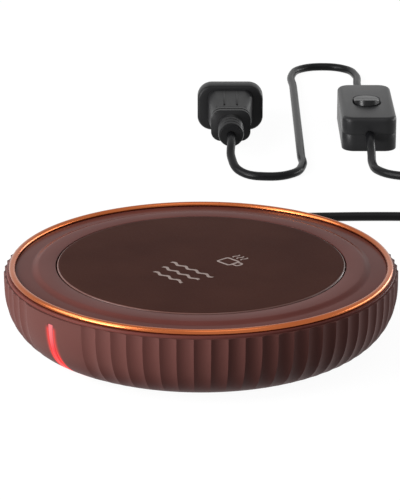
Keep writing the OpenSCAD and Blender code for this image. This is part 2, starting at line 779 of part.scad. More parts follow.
module strain_relief() {
  taper = (boot_root_d - boot_tip_d) / 2 / boot_l;
  ribs = 5;
  color("#1d1d1f") translate([0, pocket_y, gland_z]) rotate([-90, 0, 0]) rotate_extrude() difference() {
    union() {
      translate([0, -gland_wall - inner_collar_t]) square([collar_d / 2, inner_collar_t]);
      translate([0, -gland_wall]) square([gland_d / 2, gland_wall]);
      square([collar_d / 2, collar_t]);
      polygon([[0, collar_t], [boot_root_d / 2, collar_t], [boot_tip_d / 2, collar_t + boot_l],
        [0, collar_t + boot_l]]);
    }
    for (i = [1 : ribs]) let (y = collar_t + i * boot_l / (ribs + 0.6))
      translate([boot_root_d / 2 - taper * (y - collar_t) - 0.5, y - 0.6]) square([2, 1.2]);
    translate([0, -gland_wall - inner_collar_t - cut])
      square([cord_r + fit, gland_wall + inner_collar_t + collar_t + boot_l + 2 * cut]);
  }
}

core_r = 0.8;

module mains_cores() {
  lead = lead_in_y - core_gap;
  block = terminal_y + terminal_l / 2;
  color("#8a5a3a") for (s = [-1, 1]) tube([[s * 0.9, lead, gland_z], [s * 1.6, lead - 1.5, gland_z],
    [s * 5, block + 1.5, floor_z + 5], [s * 6, block - 1, floor_z + 5]], core_r, 6);
}

module heater_wires() {
  tab = 4.4 + core_gap;
  color("#b8b0a0") {
    tube([[-6, 24, 8], [-7, 19, 7.5], [-9, 12, 7], [-9, 4, 7], [-6.5, 0, 7], [-tab, 0, 7]], core_r, 6);
    tube([[tab, 0, 7], [6.5, 0, 7], [10, 3, 8], [12, 9, 11], [12, 14, 14.5], [9.9, 17, 15.9]], core_r, 6);
    tube([[-9.1, 17, 15.9], [-13, 18, 15.5], [-18, 21, 15.5], [-20, 24, 17], [-20, 25, 19.5],
      [-20, 25, 21.5]], core_r, 6, [0, 1, 0]);
    tube([[6, 24, 8], [8, 19, 9], [14, 19, 11], [18, 22, 14], [20, 24.5, 17], [20, 25, 21.5]],
      core_r, 6, [0, 1, 0]);
  }
}

// From the control board, round a pillar and up to the indicator board
module lamp_wires() {
  out = side_cr + (led_board_r - led_board_t - 0.6) * cos(bar_mid_angle);
  up = waist_z - (led_board_r - led_board_t - 0.6) * sin(bar_mid_angle);
  pillar = foot_ring_r * cos(45) * [-1, -1, 0];
  color("#b03a30") for (s = [-1, 1])
    tube([[-board_w / 2 + 1.5, -board_y - 7.2 - s * 0.8, board_z + board_t + 0.6],
      pillar + [3.6, -5.1 - s, boss_z + 5.5], pillar + [-1.4, -6.9 - s, boss_z + 7.5],
      [out * cos(panel_angle) + s * 0.8, out * sin(panel_angle) - s * 0.9, up]], 0.5, 6);
}

// ---- Lead ----

module cord_lead() {
  color("#18181a") tube(lead_route, cord_r);
}

module cord_coil() {
  color("#18181a") translate([coil_at[0], coil_at[1], 0]) rotate_extrude()
    translate([coil_inner_r, 0]) square([coil_outer_r - coil_inner_r, coil_h]);
}

module cord_run() {
  color("#18181a") tube(run_route, cord_r);
}

module cord_tail() {
  color("#18181a") tube(tail_route, cord_r);
}

// ---- In-line switch ----

module at_switch() {
  translate([switch_at[0], switch_at[1], 0]) children();
}

module switch_outline(inset) {
  round_rect(switch_w - 2 * inset, switch_l - 2 * inset, switch_corner - inset);
}

// The bore for the lead at both ends
module switch_cord_holes() {
  translate([0, 0, switch_mid]) rotate([90, 0, 0]) cylinder(r = cord_r + fit, h = switch_l + cut, center = true);
}

// Blocks that grip the lead inside each end, from z0 to z1
module cord_grips(z0, z1) {
  for (s = [-1, 1]) translate([-4, s * (switch_l / 2 - switch_wall / 2 - 2) - 2.5, z0]) cube([8, 5, z1 - z0]);
}

module switch_base() {
  color("#2b2c2f") at_switch() difference() {
    union() {
      difference() {
        linear_extrude(height = switch_mid) switch_outline(0);
        translate([0, 0, switch_wall]) linear_extrude(height = switch_h) switch_outline(switch_wall);
      }
      cord_grips(switch_wall / 2, switch_mid);
      for (s = [-1, 1]) translate([s * switch_screw_x, s * switch_screw_y, switch_wall / 2])
        cylinder(r = 2.6, h = switch_mid - switch_wall / 2);
    }
    switch_cord_holes();
    for (s = [-1, 1]) translate([s * switch_screw_x, s * switch_screw_y, -cut]) {
      cylinder(d = small_screw_d + 0.3, h = switch_h);
      cylinder(r = small_head_r + 0.2, h = cut + 1.6);
    }
    // A shallow bevel round the underside
    difference() {
      translate([0, 0, -cut]) linear_extrude(height = cut + 0.5) square([switch_w + 2, switch_l + 2], center = true);
      translate([0, 0, -2 * cut]) linear_extrude(height = 4 * cut) switch_outline(0.5);
    }
  }
}

module switch_cover() {
  opening_w = rocker_w + 2 * rocker_gap;
  opening_l = rocker_l + 2 * rocker_gap + 1;
  flat = 0.4;
  color("#303135") at_switch() difference() {
    union() {
      difference() {
        union() {
          translate([0, 0, switch_mid]) linear_extrude(height = switch_h - switch_chamfer - switch_mid)
            switch_outline(0);
          hull() {
            translate([0, 0, switch_h - switch_chamfer - flat]) linear_extrude(height = flat) switch_outline(0);
            translate([0, 0, switch_h - flat]) linear_extrude(height = flat) switch_outline(switch_chamfer);
          }
        }
        translate([0, 0, switch_mid - cut]) linear_extrude(height = switch_h - switch_wall - switch_mid + cut)
          switch_outline(switch_wall);
      }
      cord_grips(switch_mid, switch_h - switch_wall / 2);
      for (s = [-1, 1]) translate([s * switch_screw_x, s * switch_screw_y, switch_mid])
        cylinder(r = 2.6, h = switch_h - switch_wall / 2 - switch_mid);
      // Cheeks that carry the rocker's pins
      for (s = [-1, 1]) translate([s * cheek_x - cheek_t / 2, -3, pivot_z - 2.4])
        cube([cheek_t, 6, switch_h - switch_wall / 2 - pivot_z + 2.4]);
    }
    translate([0, 0, pivot_z - 3]) linear_extrude(height = switch_h) stadium(opening_w, opening_l);
    translate([0, 0, pivot_z]) rotate([0, 90, 0]) cylinder(r = pivot_d / 2 + fit, h = 2 * cheek_x + cheek_t + 1, center = true);
    switch_cord_holes();
    for (s = [-1, 1]) translate([s * switch_screw_x, s * switch_screw_y, switch_mid - cut])
      cylinder(d = small_screw_d, h = 4.5);
  }
}

// The rocker, level; its top is two planes that meet over the pivot
module level_rocker() {
  end_r = rocker_l / 2 + rocker_gap + 0.2;
  top = switch_h - pivot_z + 0.2;
  skirt = 2;
  difference() {
    intersection() {
      translate([0, 0, -skirt]) linear_extrude(height = 10) stadium(rocker_w, rocker_l);
      rotate([0, 90, 0]) cylinder(r = end_r, h = rocker_w, center = true);
    }
    for (s = [-1, 1]) translate([0, 0, top]) rotate([s * rocker_tilt, 0, 0])
      translate([-10, s > 0 ? 0 : -20, 0]) cube([20, 20, 20]);
  }
  rotate([0, 90, 0]) cylinder(d = pivot_d, h = 2 * cheek_x + cheek_t - 0.4, center = true, $fn = 48);
  // Plunger that presses on the contact blade
  translate([0, 0, contact_z + blade_plate_t + 0.9 + 0.3 - pivot_z])
    cylinder(r = 1, h = pivot_z - contact_z - blade_plate_t - 2, $fn = 32);
}

module switch_rocker() {
  color("#1f2023") at_switch() translate([0, 0, pivot_z]) rotate([-rocker_tilt, 0, 0]) level_rocker();
}

// The blade tips on a knuckle between the middle contact's ears
module contact_blade() {
  color("#b98a4a") at_switch() translate([0, 0, knuckle_z]) rotate([blade_tilt, 0, 0]) {
    rotate([0, 90, 0]) cylinder(r = knuckle_r, h = contact_blade_w + 2 * post_cheek_t + 0.4, center = true, $fn = 32);
    translate([-contact_blade_w / 2, -contact_y - 1.5, contact_z - knuckle_z - 0.2])
      cube([contact_blade_w, 2 * contact_y + 3, blade_plate_t + 0.2]);
  }
}

module switch_contacts() {
  drop = (contact_y + 1.5) * sin(blade_tilt) + 0.5;
  ear_x = contact_blade_w / 2 + 0.2 + post_cheek_t / 2;
  color("#b98a4a") at_switch() {
    // Middle contact with two ears
    difference() {
      union() {
        translate([-ear_x - post_cheek_t / 2, -2, switch_wall]) cube([2 * ear_x + post_cheek_t, 4, 0.8]);
        for (s = [-1, 1]) translate([s * ear_x - post_cheek_t / 2, -1.6, switch_wall])
          cube([post_cheek_t, 3.2, knuckle_z - switch_wall + knuckle_r + 0.5]);
      }
      translate([0, 0, knuckle_z]) rotate([0, 90, 0]) cylinder(r = knuckle_r + fit, h = 20, center = true, $fn = 32);
    }
    // End contacts
    for (s = [-1, 1]) translate([-1.5, s * contact_y - 1.5, switch_wall])
      cube([3, 3, contact_z - drop - switch_wall]);
  }
}

module switch_screws() {
  color("#9a9a98") at_switch() for (s = [-1, 1])
    translate([s * switch_screw_x, s * switch_screw_y, 0.3])
      screw_up(small_screw_d - 2 * fit, small_head_r, switch_mid + 3);
}

// The switched core in two halves, and the core that passes by
module switch_cores() {
  x = switch_at[0];
  y = switch_at[1];
  end = 19 - core_gap;
  color("#8a5a3a") {
    for (s = [-1, 1]) tube([[x - 0.9, y + s * end, 7], [x - 1, y + s * 17, 6.8], [x, y + s * 12, 4],
      [x, y + s * (contact_y + 1.5 + core_gap), 2.9]], core_r, 6);
    tube([[x + 0.9, y - end, 7], [x + 2, y - 16, 6], [x + 6.5, y - 10, 3.5], [x + 6.5, y, 3], [x + 6, y + 6, 3.2],
      [x + 3.2, y + 11.5, 3.8], [x + 2, y + 16, 6], [x + 0.9, y + end, 7]], core_r, 6);
  }
}

// ---- Plug ----

module at_plug() {
  translate([plug_at[0], plug_at[1], plug_mid]) children();
}

// A slab across the lead's axis, from y, with round corners
module plug_slab(y, w, h, l, r) {
  translate([0, y, 0]) rotate([-90, 0, 0]) linear_extrude(height = l) round_rect(w, h, r);
}

module plug_body() {
  thin = 0.2;
  ribs = 4;
  pitch = plug_boot_l / ribs;
  color("#26272a") at_plug() difference() {
    union() {
      rotate([-90, 0, 0]) cylinder(d = plug_boot_d - 2, h = plug_boot_l);
      for (i = [0 : ribs - 1]) translate([0, i * pitch + 0.8, 0]) rotate([-90, 0, 0])
        cylinder(d1 = plug_boot_d - 1, d2 = plug_boot_d, h = pitch - 1.6);
      plug_slab(collar_y, plug_waist_w + 1, plug_waist_w - 2, plug_collar_l * 0.4, 4);
      plug_slab(collar_y, plug_waist_w, plug_waist_w - 3, plug_collar_l, 4);
      plug_slab(collar_y + plug_collar_l * 0.6, plug_waist_w + 1, plug_waist_w - 2, plug_collar_l * 0.4, 4);
      hull() {
        plug_slab(body_y, plug_waist_w, plug_waist_w - 2, thin, 4);
        plug_slab(plug_flange_y - thin, plug_body_w, plug_h - 3, thin, 4);
      }
      hull() {
        plug_slab(plug_flange_y, plug_w - 2, plug_h - 2, thin, 5);
        plug_slab(plug_flange_y + 1, plug_w, plug_h, plug_flange_l - 1.6, 6);
        plug_slab(plug_face_y - thin, plug_w - 1.2, plug_h - 1.2, thin, 5.4);
      }
    }
    translate([0, -cut, 0]) rotate([-90, 0, 0]) cylinder(r = cord_r + fit, h = 11 + cut);
    for (s = [-1, 1]) translate([s * blade_pitch / 2, plug_face_y - blade_root, 0])
      translate([-blade_t / 2 - fit, 0, -blade_w / 2 - fit]) cube([blade_t + 2 * fit, 20, blade_w + 2 * fit]);
  }
}

module plug_blades() {
  length = blade_l + blade_root;
  hole_from_tip = 4;
  color("#c9b884") at_plug() for (s = [-1, 1])
    translate([s * blade_pitch / 2, plug_face_y - blade_root, 0]) rotate([90, 0, 90])
      linear_extrude(height = blade_t, center = true) difference() {
        polygon([[0, -blade_w / 2], [length - 1.5, -blade_w / 2], [length, -blade_w / 2 + 1.5],
          [length, blade_w / 2 - 1.5], [length - 1.5, blade_w / 2], [0, blade_w / 2]]);
        translate([length - hole_from_tip, 0]) circle(r = 1.6, $fn = 32);
      }
}

base_shell();
top_cover();
trim_ring();
plate_seal();
heating_plate();
mica_sheet();
heater_track();
insulation_pad();
retainer_plate();
retainer_screws();
pillars();
housing_screws();
feet();
thermostat_cap();
thermostat_body();
thermostat_strap();
strap_screws();
thermal_fuse();
fuse_clip();
terminal_block();
terminal_screws();
control_board();
board_screws();
triac();
capacitor();
control_chip();
light_bar();
indicator_board();
indicator_lamps();
cord_clamp();
clamp_screws();
strain_relief();
mains_cores();
heater_wires();
lamp_wires();
cord_lead();
cord_coil();
cord_run();
cord_tail();
switch_base();
switch_cover();
switch_rocker();
contact_blade();
switch_contacts();
switch_screws();
switch_cores();
plug_body();
plug_blades();
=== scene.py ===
# Electric mug warmer with its lead, in-line rocker switch and two-blade plug.
# Shapes are modelled in millimetres and become metres when a piece is finished.

import math

import bmesh
import bpy
from mathutils import Matrix, Vector


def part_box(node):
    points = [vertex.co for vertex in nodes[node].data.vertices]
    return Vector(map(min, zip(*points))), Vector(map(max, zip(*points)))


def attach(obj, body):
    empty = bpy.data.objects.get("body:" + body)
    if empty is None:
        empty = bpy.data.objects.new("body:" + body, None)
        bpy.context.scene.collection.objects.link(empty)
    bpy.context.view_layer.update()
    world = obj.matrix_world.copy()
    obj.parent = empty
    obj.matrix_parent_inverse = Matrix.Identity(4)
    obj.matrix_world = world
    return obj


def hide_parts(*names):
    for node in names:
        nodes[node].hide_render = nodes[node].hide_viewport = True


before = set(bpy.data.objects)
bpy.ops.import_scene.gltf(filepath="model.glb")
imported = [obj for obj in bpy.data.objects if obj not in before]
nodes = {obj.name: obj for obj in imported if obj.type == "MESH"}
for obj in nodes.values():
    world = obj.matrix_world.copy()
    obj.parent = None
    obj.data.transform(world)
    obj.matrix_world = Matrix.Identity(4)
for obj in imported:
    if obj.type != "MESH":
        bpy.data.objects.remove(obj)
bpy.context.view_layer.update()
mm = 0.001
nearZero = 1e-4  # closer points count as one
hair = 0.01  # keeps a round end from closing on itself
print("frame loaded,", len(nodes), "nodes")


def heights(nodeName):
    # A node's lowest and highest point, in millimetres
    return [(corner / mm).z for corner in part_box(nodeName)]


def inScene(name, data):
    made = bpy.data.objects.new(name, data)
    bpy.context.scene.collection.objects.link(made)
    return made


def towards(azimuth, height):
    # Degrees to the right of the front, and degrees above the table
    across, up = math.radians(azimuth), math.radians(height)
    return Vector((math.sin(across) * math.cos(up), -math.cos(across) * math.cos(up),
                   math.sin(up)))


# Camera

view = {
    "distance": 900,
    "elevation": 20.5,
    "target": (0, 0, 13),
    "tiltUp": 1.035,
    "turnLeft": 0.025,
    "lens": 195.5,
    "clipping": (0.05, 20),  # in metres
}


def placeCamera():
    camera = inScene("camera", bpy.data.cameras.new("camera"))
    back = towards(0, view["elevation"]) * view["distance"]
    camera.location = (Vector(view["target"]) + back) * mm
    pitch = 90 - view["elevation"] + view["tiltUp"]
    camera.rotation_euler = (math.radians(pitch), 0, math.radians(view["turnLeft"]))
    camera.data.lens = view["lens"]
    camera.data.clip_start, camera.data.clip_end = view["clipping"]
    bpy.context.scene.camera = camera


placeCamera()
print("camera placed")


# The lead's routes, as in the part's source

lead = {
    "diameter": 3.4,
    "smoothness": (6, 5),  # along the lead and round it
    "coilCentre": (106, 140),
    "coilRadii": (21.8, 18.4, 15.0),
    "coilHeights": (1.7, 5.1),
    "coilStart": -90,
    "leftOut": 0.5,  # of the last turn
    "crossing": 0.25,  # share of a turn in which the lead moves over by one lane
    "pointsPerTurn": 24,
    "out": [
        (0, 42, 9), (0, 52, 9), (0, 64, 9), (0, 76, 9), (0, 86, 8.8), (1, 94, 7), (4, 102, 4.5),
        (11, 110, 2.4), (21, 115, 1.7), (33, 117, 1.7), (48, 118, 1.7), (66, 118.5, 1.7),
        (86, 118.2, 1.7),
    ],
    "toSwitch": [
        (96, 162, 4.9), (86, 163, 3.4), (77, 167, 2.1), (70, 174, 1.8),
        (68, 183, 1.7), (68, 192, 3.5), (68, 200, 6.5), (68, 206, 7), (68, 211, 7),
    ],
    "toPlug": [
        (68, 249, 7), (68, 256, 7), (68, 264, 6), (68, 274, 3), (68, 284, 1.7), (68, 298, 1.7),
        (68, 312, 1.7), (64, 322, 1.7), (54, 326, 1.7), (44, 322, 1.7), (40, 312, 1.7),
        (40, 294, 1.7), (40, 266, 1.7), (40, 238, 1.7), (40, 210, 1.7), (40, 193, 1.7),
        (40, 181, 1.7), (36, 171, 1.7), (26, 167, 1.7), (16, 171, 2.2), (12, 181, 5),
        (12, 190, 8.5), (12, 198, 9.5), (12, 206, 9.5),
    ],
}


def ease(t):
    t = min(max(t, 0), 1)
    return t * t * (3 - 2 * t)


def coilTurns():
    # In over the floor from the outer turn to the inner one, up a layer, and out again
    centreX, centreY = lead["coilCentre"]
    low, high = lead["coilHeights"]
    lanes = [(r, low) for r in lead["coilRadii"]] + [(r, high) for r in reversed(lead["coilRadii"])]
    perTurn, crossing = lead["pointsPerTurn"], lead["crossing"]
    points = []
    for k in range(int((len(lanes) - lead["leftOut"]) * perTurn) + 1):
        lane, share = divmod(k / perTurn, 1)
        here = lanes[int(lane)]
        after = lanes[min(int(lane) + 1, len(lanes) - 1)]
        shift = ease((share - (1 - crossing)) / crossing)
        radius, height = (a + (b - a) * shift for a, b in zip(here, after))
        angle = math.radians(lead["coilStart"] + k * 360 / perTurn)
        points.append((centreX + radius * math.cos(angle), centreY + radius * math.sin(angle),
                       height))
    return points


def makeCord(name, points, material):
    curve = bpy.data.curves.new(name, "CURVE")
    curve.dimensions = "3D"
    curve.resolution_u, curve.bevel_resolution = lead["smoothness"]
    curve.bevel_depth = lead["diameter"] / 2 * mm
    curve.use_fill_caps = True
    spline = curve.splines.new("BEZIER")
    spline.bezier_points.add(len(points) - 1)
    for knot, point in zip(spline.bezier_points, points):
        knot.co = Vector(point) * mm
        knot.handle_left_type = "AUTO"
        knot.handle_right_type = "AUTO"
    cord = inScene(name, curve)
    curve.materials.append(material)
    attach(cord, "warmer")
    return cord


# Material nodes

def newMaterial(name):
    material = bpy.data.materials.new(name)
    material.use_nodes = True
    tree = material.node_tree
    return material, tree, tree.nodes["Principled BSDF"]


def setSockets(node, values):
    for key, value in values.items():
        node.inputs[key].default_value = value


def addNode(tree, kind, sockets, **settings):
    node = tree.nodes.new(kind)
    for key, value in settings.items():
        setattr(node, key, value)
    setSockets(node, sockets)
    return node


def linear(written):
    # A written colour such as 6f4e4b as linear red, green and blue, and solid
    parts = [int(written[i:i + 2], 16) / 255 for i in (0, 2, 4)]
    return (*(c / 12.92 if c <= 0.04045 else ((c + 0.055) / 1.055) ** 2.4 for c in parts), 1)


def calculate(tree, operation, *values):
    node = addNode(tree, "ShaderNodeMath", {}, operation=operation)
    for socket, value in zip(node.inputs, values):
        if isinstance(value, (int, float)):
            socket.default_value = value
        else:
            tree.links.new(value, socket)
    return node.outputs["Value"]


def rampBetween(tree, value, low, high, start=0.0, end=1.0, shape="SMOOTHSTEP"):
    limits = {"From Min": low, "From Max": high, "To Min": start, "To Max": end}
    ramp = addNode(tree, "ShaderNodeMapRange", limits, interpolation_type=shape)
    tree.links.new(value, ramp.inputs["Value"])
    return ramp.outputs["Result"]


def spread(tree, noise, low, high):
    # Noise keeps near its middle, so that part is drawn out to the limits
    return rampBetween(tree, noise, 0.3, 0.7, low, high, "LINEAR")


def colourRamp(tree, factor, stops):
    ramp = tree.nodes.new("ShaderNodeValToRGB")
    elements = ramp.color_ramp.elements
    for position, _ in stops[1:-1]:
        elements.new(position)
    for element, (position, written) in zip(elements, stops):
        element.position = position
        element.color = linear(written)
    tree.links.new(factor, ramp.inputs["Fac"])
    return ramp.outputs["Color"]


def noiseOn(tree, scale, detail=3.0, stretch=(1, 1, 1)):
    coords = tree.nodes.new("ShaderNodeTexCoord")
    mapping = addNode(tree, "ShaderNodeMapping", {"Scale": stretch})
    noise = addNode(tree, "ShaderNodeTexNoise", {"Scale": scale, "Detail": detail})
    tree.links.new(coords.outputs["Object"], mapping.inputs["Vector"])
    tree.links.new(mapping.outputs["Vector"], noise.inputs["Vector"])
    return noise.outputs["Fac"]


def addGrain(tree, shader, scale, stretch, dull, depth):
    # A fine grain in gloss and relief
    fine = noiseOn(tree, scale, 2.0, stretch)
    tree.links.new(spread(tree, fine, *dull), shader.inputs["Roughness"])
    bump = addNode(tree, "ShaderNodeBump", {"Strength": 1, "Distance": depth})
    tree.links.new(fine, bump.inputs["Height"])
    tree.links.new(bump.outputs["Normal"], shader.inputs["Normal"])


def mouldedFinish(name, dark, light, rough, cloud=40, grain=2500, grainDepth=4e-6, specular=0.5,
                  metallic=0.0, coat=0.0, stretch=(1, 1, 1), glossSpread=0.04):
    # Paint, plastic or metal, with slow clouds in the colour
    material, tree, shader = newMaterial(name)
    colour = colourRamp(tree, noiseOn(tree, cloud), [(0.3, dark), (0.7, light)])
    tree.links.new(colour, shader.inputs["Base Color"])
    addGrain(tree, shader, grain, stretch, (rough - glossSpread, rough + glossSpread), grainDepth)
    setSockets(shader, {"Metallic": metallic, "Specular IOR Level": specular,
                        "Coat Weight": coat, "Coat Roughness": 0.2})
    return material


# Making pieces

def turnAndMove(bm, verts, degrees, axis, shift=(0, 0, 0)):
    # Turned about the origin, then moved
    bmesh.ops.rotate(bm, verts=verts, cent=(0, 0, 0),
                     matrix=Matrix.Rotation(math.radians(degrees), 3, axis))
    bmesh.ops.translate(bm, verts=verts, vec=shift)


def turnToRear(bm, x, y, z):
    # Stands what was made along Z along +Y instead, from the place given
    turnAndMove(bm, bm.verts, -90, "X", (x, y, z))


def asObject(name, bm):
    mesh = bpy.data.meshes.new(name)
    bm.to_mesh(mesh)
    bm.free()
    return inScene(name, mesh)


def finishPiece(name, bm, material, replaced=(), body="warmer", sharp=32):
    # Smooth faces with crisp edges past the sharp angle, in metres, on its body
    bmesh.ops.scale(bm, vec=(mm, mm, mm), verts=bm.verts)
    for face in bm.faces:
        face.smooth = True
    limit = math.radians(sharp)
    for edge in bm.edges:
        if edge.smooth:
            edge.smooth = edge.calc_face_angle(0) < limit
    piece = asObject(name, bm)
    piece.data.materials.append(material)
    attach(piece, body)
    if replaced:
        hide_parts(*replaced)
    return piece


def mergeInto(bm, other):
    mesh = bpy.data.meshes.new("merging")
    other.to_mesh(mesh)
    other.free()
    bm.from_mesh(mesh)
    bpy.data.meshes.remove(mesh)


def combine(bm, other, how):
    # The piece joined to, or cut by, closed shapes that are clear of each other; both are used up
    pair = [asObject("joining", shape) for shape in (bm, other)]
    step = pair[0].modifiers.new("join", "BOOLEAN")
    step.operation = how
    step.solver = "EXACT"
    step.object = pair[1]
    graph = bpy.context.evaluated_depsgraph_get()
    joined = bpy.data.meshes.new_from_object(pair[0].evaluated_get(graph))
    result = bmesh.new()
    result.from_mesh(joined)
    for used in [half.data for half in pair] + [joined]:
        bpy.data.meshes.remove(used)  # its object goes with it
    return result


def spinSection(points, steps, startAngle=0.0):
    # A closed section in the XZ plane, spun about Z
    bm = bmesh.new()
    ring = [bm.verts.new((r, 0, z)) for r, z in points]
    edges = [bm.edges.new(pair) for pair in zip(ring, ring[1:] + ring[:1])]
    turnAndMove(bm, ring, startAngle, "Z")
    bmesh.ops.spin(bm, geom=ring + edges, cent=(0, 0, 0), axis=(0, 0, 1), angle=2 * math.pi,
                   steps=steps, use_merge=True)
    bmesh.ops.remove_doubles(bm, verts=bm.verts, dist=nearZero)
    bmesh.ops.recalc_face_normals(bm, faces=bm.faces)
    return bm


def arcPoints(centreR, centreZ, radius, first, last, count):
    angles = [math.radians(first + (last - first) * k / count) for k in range(count + 1)]
    return [(centreR + radius * math.cos(a), centreZ + radius * math.sin(a)) for a in angles]


def ringPlaces(radius, count, first=0):
    # Places round the axis, the first at an angle from +X
    angles = [math.radians(first + 360 / count * k) for k in range(count)]
    return [(radius * math.cos(a), radius * math.sin(a)) for a in angles]


def roundEdges(bm, edges, radius, segments=3):
    bmesh.ops.bevel(bm, geom=edges, offset=radius, offset_type="OFFSET", segments=segments,
                    profile=0.5, affect="EDGES", material=-1, clamp_overlap=True)


def edgesOver(bm, angle):
    limit = math.radians(angle)
    return [edge for edge in bm.edges if edge.is_manifold and edge.calc_face_angle(0) > limit]


def edgesAt(bm, height):
    return [edge for edge in bm.edges
            if all(abs(vert.co.z - height) < 1e-3 for vert in edge.verts)]


def extrudeFaces(bm, faces):
    # Returns the vertices of the lifted side
    made = bmesh.ops.extrude_face_region(bm, geom=faces)["geom"]
    return [item for item in made if isinstance(item, bmesh.types.BMVert)]


def cutThrough(bm, place, normal, **settings):
    bmesh.ops.bisect_plane(bm, geom=list(bm.verts) + list(bm.edges) + list(bm.faces),
                           plane_co=place, plane_no=normal, **settings)


def block(size, centre, tilt=0.0):
    bm = bmesh.new()
    made = bmesh.ops.create_cube(bm, size=1)["verts"]
    bmesh.ops.scale(bm, vec=size, verts=made)
    turnAndMove(bm, made, tilt, "X", centre)
    return bm


def slab(width, length, low, high, corner, segments=8, centre=(0, 0)):
    # A block whose upright edges are rounded
    bm = block((width, length, high - low), (*centre, (low + high) / 2))
    upright = [edge for edge in bm.edges
               if abs(edge.verts[0].co.z - edge.verts[1].co.z) > nearZero]
    roundEdges(bm, upright, corner, segments)
    bmesh.ops.remove_doubles(bm, verts=bm.verts, dist=nearZero)
    return bm


def pin(radius, low, high, centre=(0, 0), segments=32):
    bm = bmesh.new()
    bmesh.ops.create_cone(bm, cap_ends=True, segments=segments, radius1=radius, radius2=radius,
                          depth=high - low, matrix=Matrix.Translation((*centre, (low + high) / 2)))
    return bm


def rod(radius, half, height, degrees, axis):
    # A pin laid down, about the height given
    bm = pin(radius, -half, half, segments=40)
    turnAndMove(bm, bm.verts, degrees, axis, (0, 0, height))
    return bm


# Housing

housing = {
    "bodyRadius": 65,
    "waist": 21.7,
    "sideRadius": 22.6,
    "sideDepth": 21.6,
    "sideFullness": 2.5,
    "wall": 2.2,
    "fluteCount": 76,
    "panelPlaces": 5,
    "panelAngle": 223,
    "fluteDepth": 0.6,
    "fluteFade": 1.2,
    "crispDepth": 0.04,  # the ridges are crisp where the flutes are deeper than this
    "columnsPerFlute": 10,
    "rows": 24,
    "innerRows": 8,
    "barSteps": 30,
    "slotWidth": 2.4,
    "slotAngles": (1.7, 56.3),
    "glandHeight": 9,
    "glandBore": [(5.9, 50.4, 53.99), (4.2, 53.99, 58.99), (5.9, 58.99, 75)],  # radius, from, to
    "footRing": 44,
    "footRadius": 6.1,
    "footRecess": 1,
    "ventRow": 24,
    "ventSize": (14, 2),
    "ventRound": 0.98,
    "ventDepth": 4,
    "ventPlaces": (-10, -5, 0, 5, 10),
}
housing["underside"], housing["rim"] = heights("base_shell")
housing["centreRadius"] = housing["bodyRadius"] - housing["sideRadius"]
flutePitch = 360 / housing["fluteCount"]


def sideReach(below):
    # From the side's centre out to its surface, at an angle under the waist: a full ellipse
    power = housing["sideFullness"]
    across = abs(math.cos(below)) / housing["sideRadius"]
    down = abs(math.sin(below)) / housing["sideDepth"]
    return (across ** power + down ** power) ** (-1 / power)


def sidePoint(below, reach):
    return (housing["centreRadius"] + reach * math.cos(below),
            housing["waist"] - reach * math.sin(below))


def outerCurve():
    # Section points of the outside, from the waist down to the underside
    power, rows = housing["sideFullness"], housing["rows"]
    drop = housing["waist"] - housing["underside"]
    lowShare = 1 - (drop / housing["sideDepth"]) ** power
    low = math.atan2(drop, housing["sideRadius"] * lowShare ** (1 / power))
    return [sidePoint(low * k / rows, sideReach(low * k / rows)) for k in range(rows + 1)]


def innerCurve():
    # Section points of the inside, from the waist down to the floor
    radius, rows = housing["sideRadius"] - housing["wall"], housing["innerRows"]
    floor = housing["underside"] + housing["wall"]
    low = math.asin((housing["waist"] - floor) / radius)
    return [sidePoint(low * k / rows, radius) for k in range(rows + 1)]


def fluteHollow(x, y, below):
    # How far a place on the side lies in its flute, how deep that flute is, and whether the
    # place is on a ridge; below is the angle under the waist
    panel, near = housing["panelPlaces"], 0.01  # in places
    place = (math.degrees(math.atan2(y, x)) - housing["panelAngle"]) / flutePitch + panel / 2
    place %= housing["fluteCount"]
    share = place % 1
    depth = max(0, housing["fluteDepth"] - housing["fluteFade"] * (1 - math.cos(below)))
    onRidge = place < near or (min(share, 1 - share) < near and place > panel - near)
    if place < panel:
        return 0, depth, onRidge
    return depth * (1 - (2 * share - 1) ** 2), depth, onRidge


def sideBar(width, outer, inner, top, low, onSurface=False):
    # A bar along the side's section at the panel, between two radii and two angles under the waist
    bm = bmesh.new()
    centreR, waist = housing["centreRadius"], housing["waist"]
    corners = [(outer, -width / 2), (outer, width / 2), (inner, width / 2), (inner, -width / 2)]
    face = bm.faces.new([bm.verts.new((centreR + r, y, waist)) for r, y in corners])
    centre = (centreR, 0, waist)
    bmesh.ops.rotate(bm, verts=face.verts, cent=centre,
                     matrix=Matrix.Rotation(math.radians(top), 3, "Y"))
    bmesh.ops.spin(bm, geom=[face] + list(face.edges) + list(face.verts), cent=centre,
                   axis=(0, 1, 0), angle=math.radians(low - top), steps=housing["barSteps"])
    for vert in bm.verts if onSurface else []:
        out, drop = vert.co.x - centreR, waist - vert.co.z
        if math.hypot(out, drop) > (outer + inner) / 2:
            below = math.atan2(drop, out)
            vert.co.x, vert.co.z = sidePoint(below, sideReach(below))
    bmesh.ops.recalc_face_normals(bm, faces=bm.faces)
    turnAndMove(bm, bm.verts, housing["panelAngle"], "Z")
    return bm


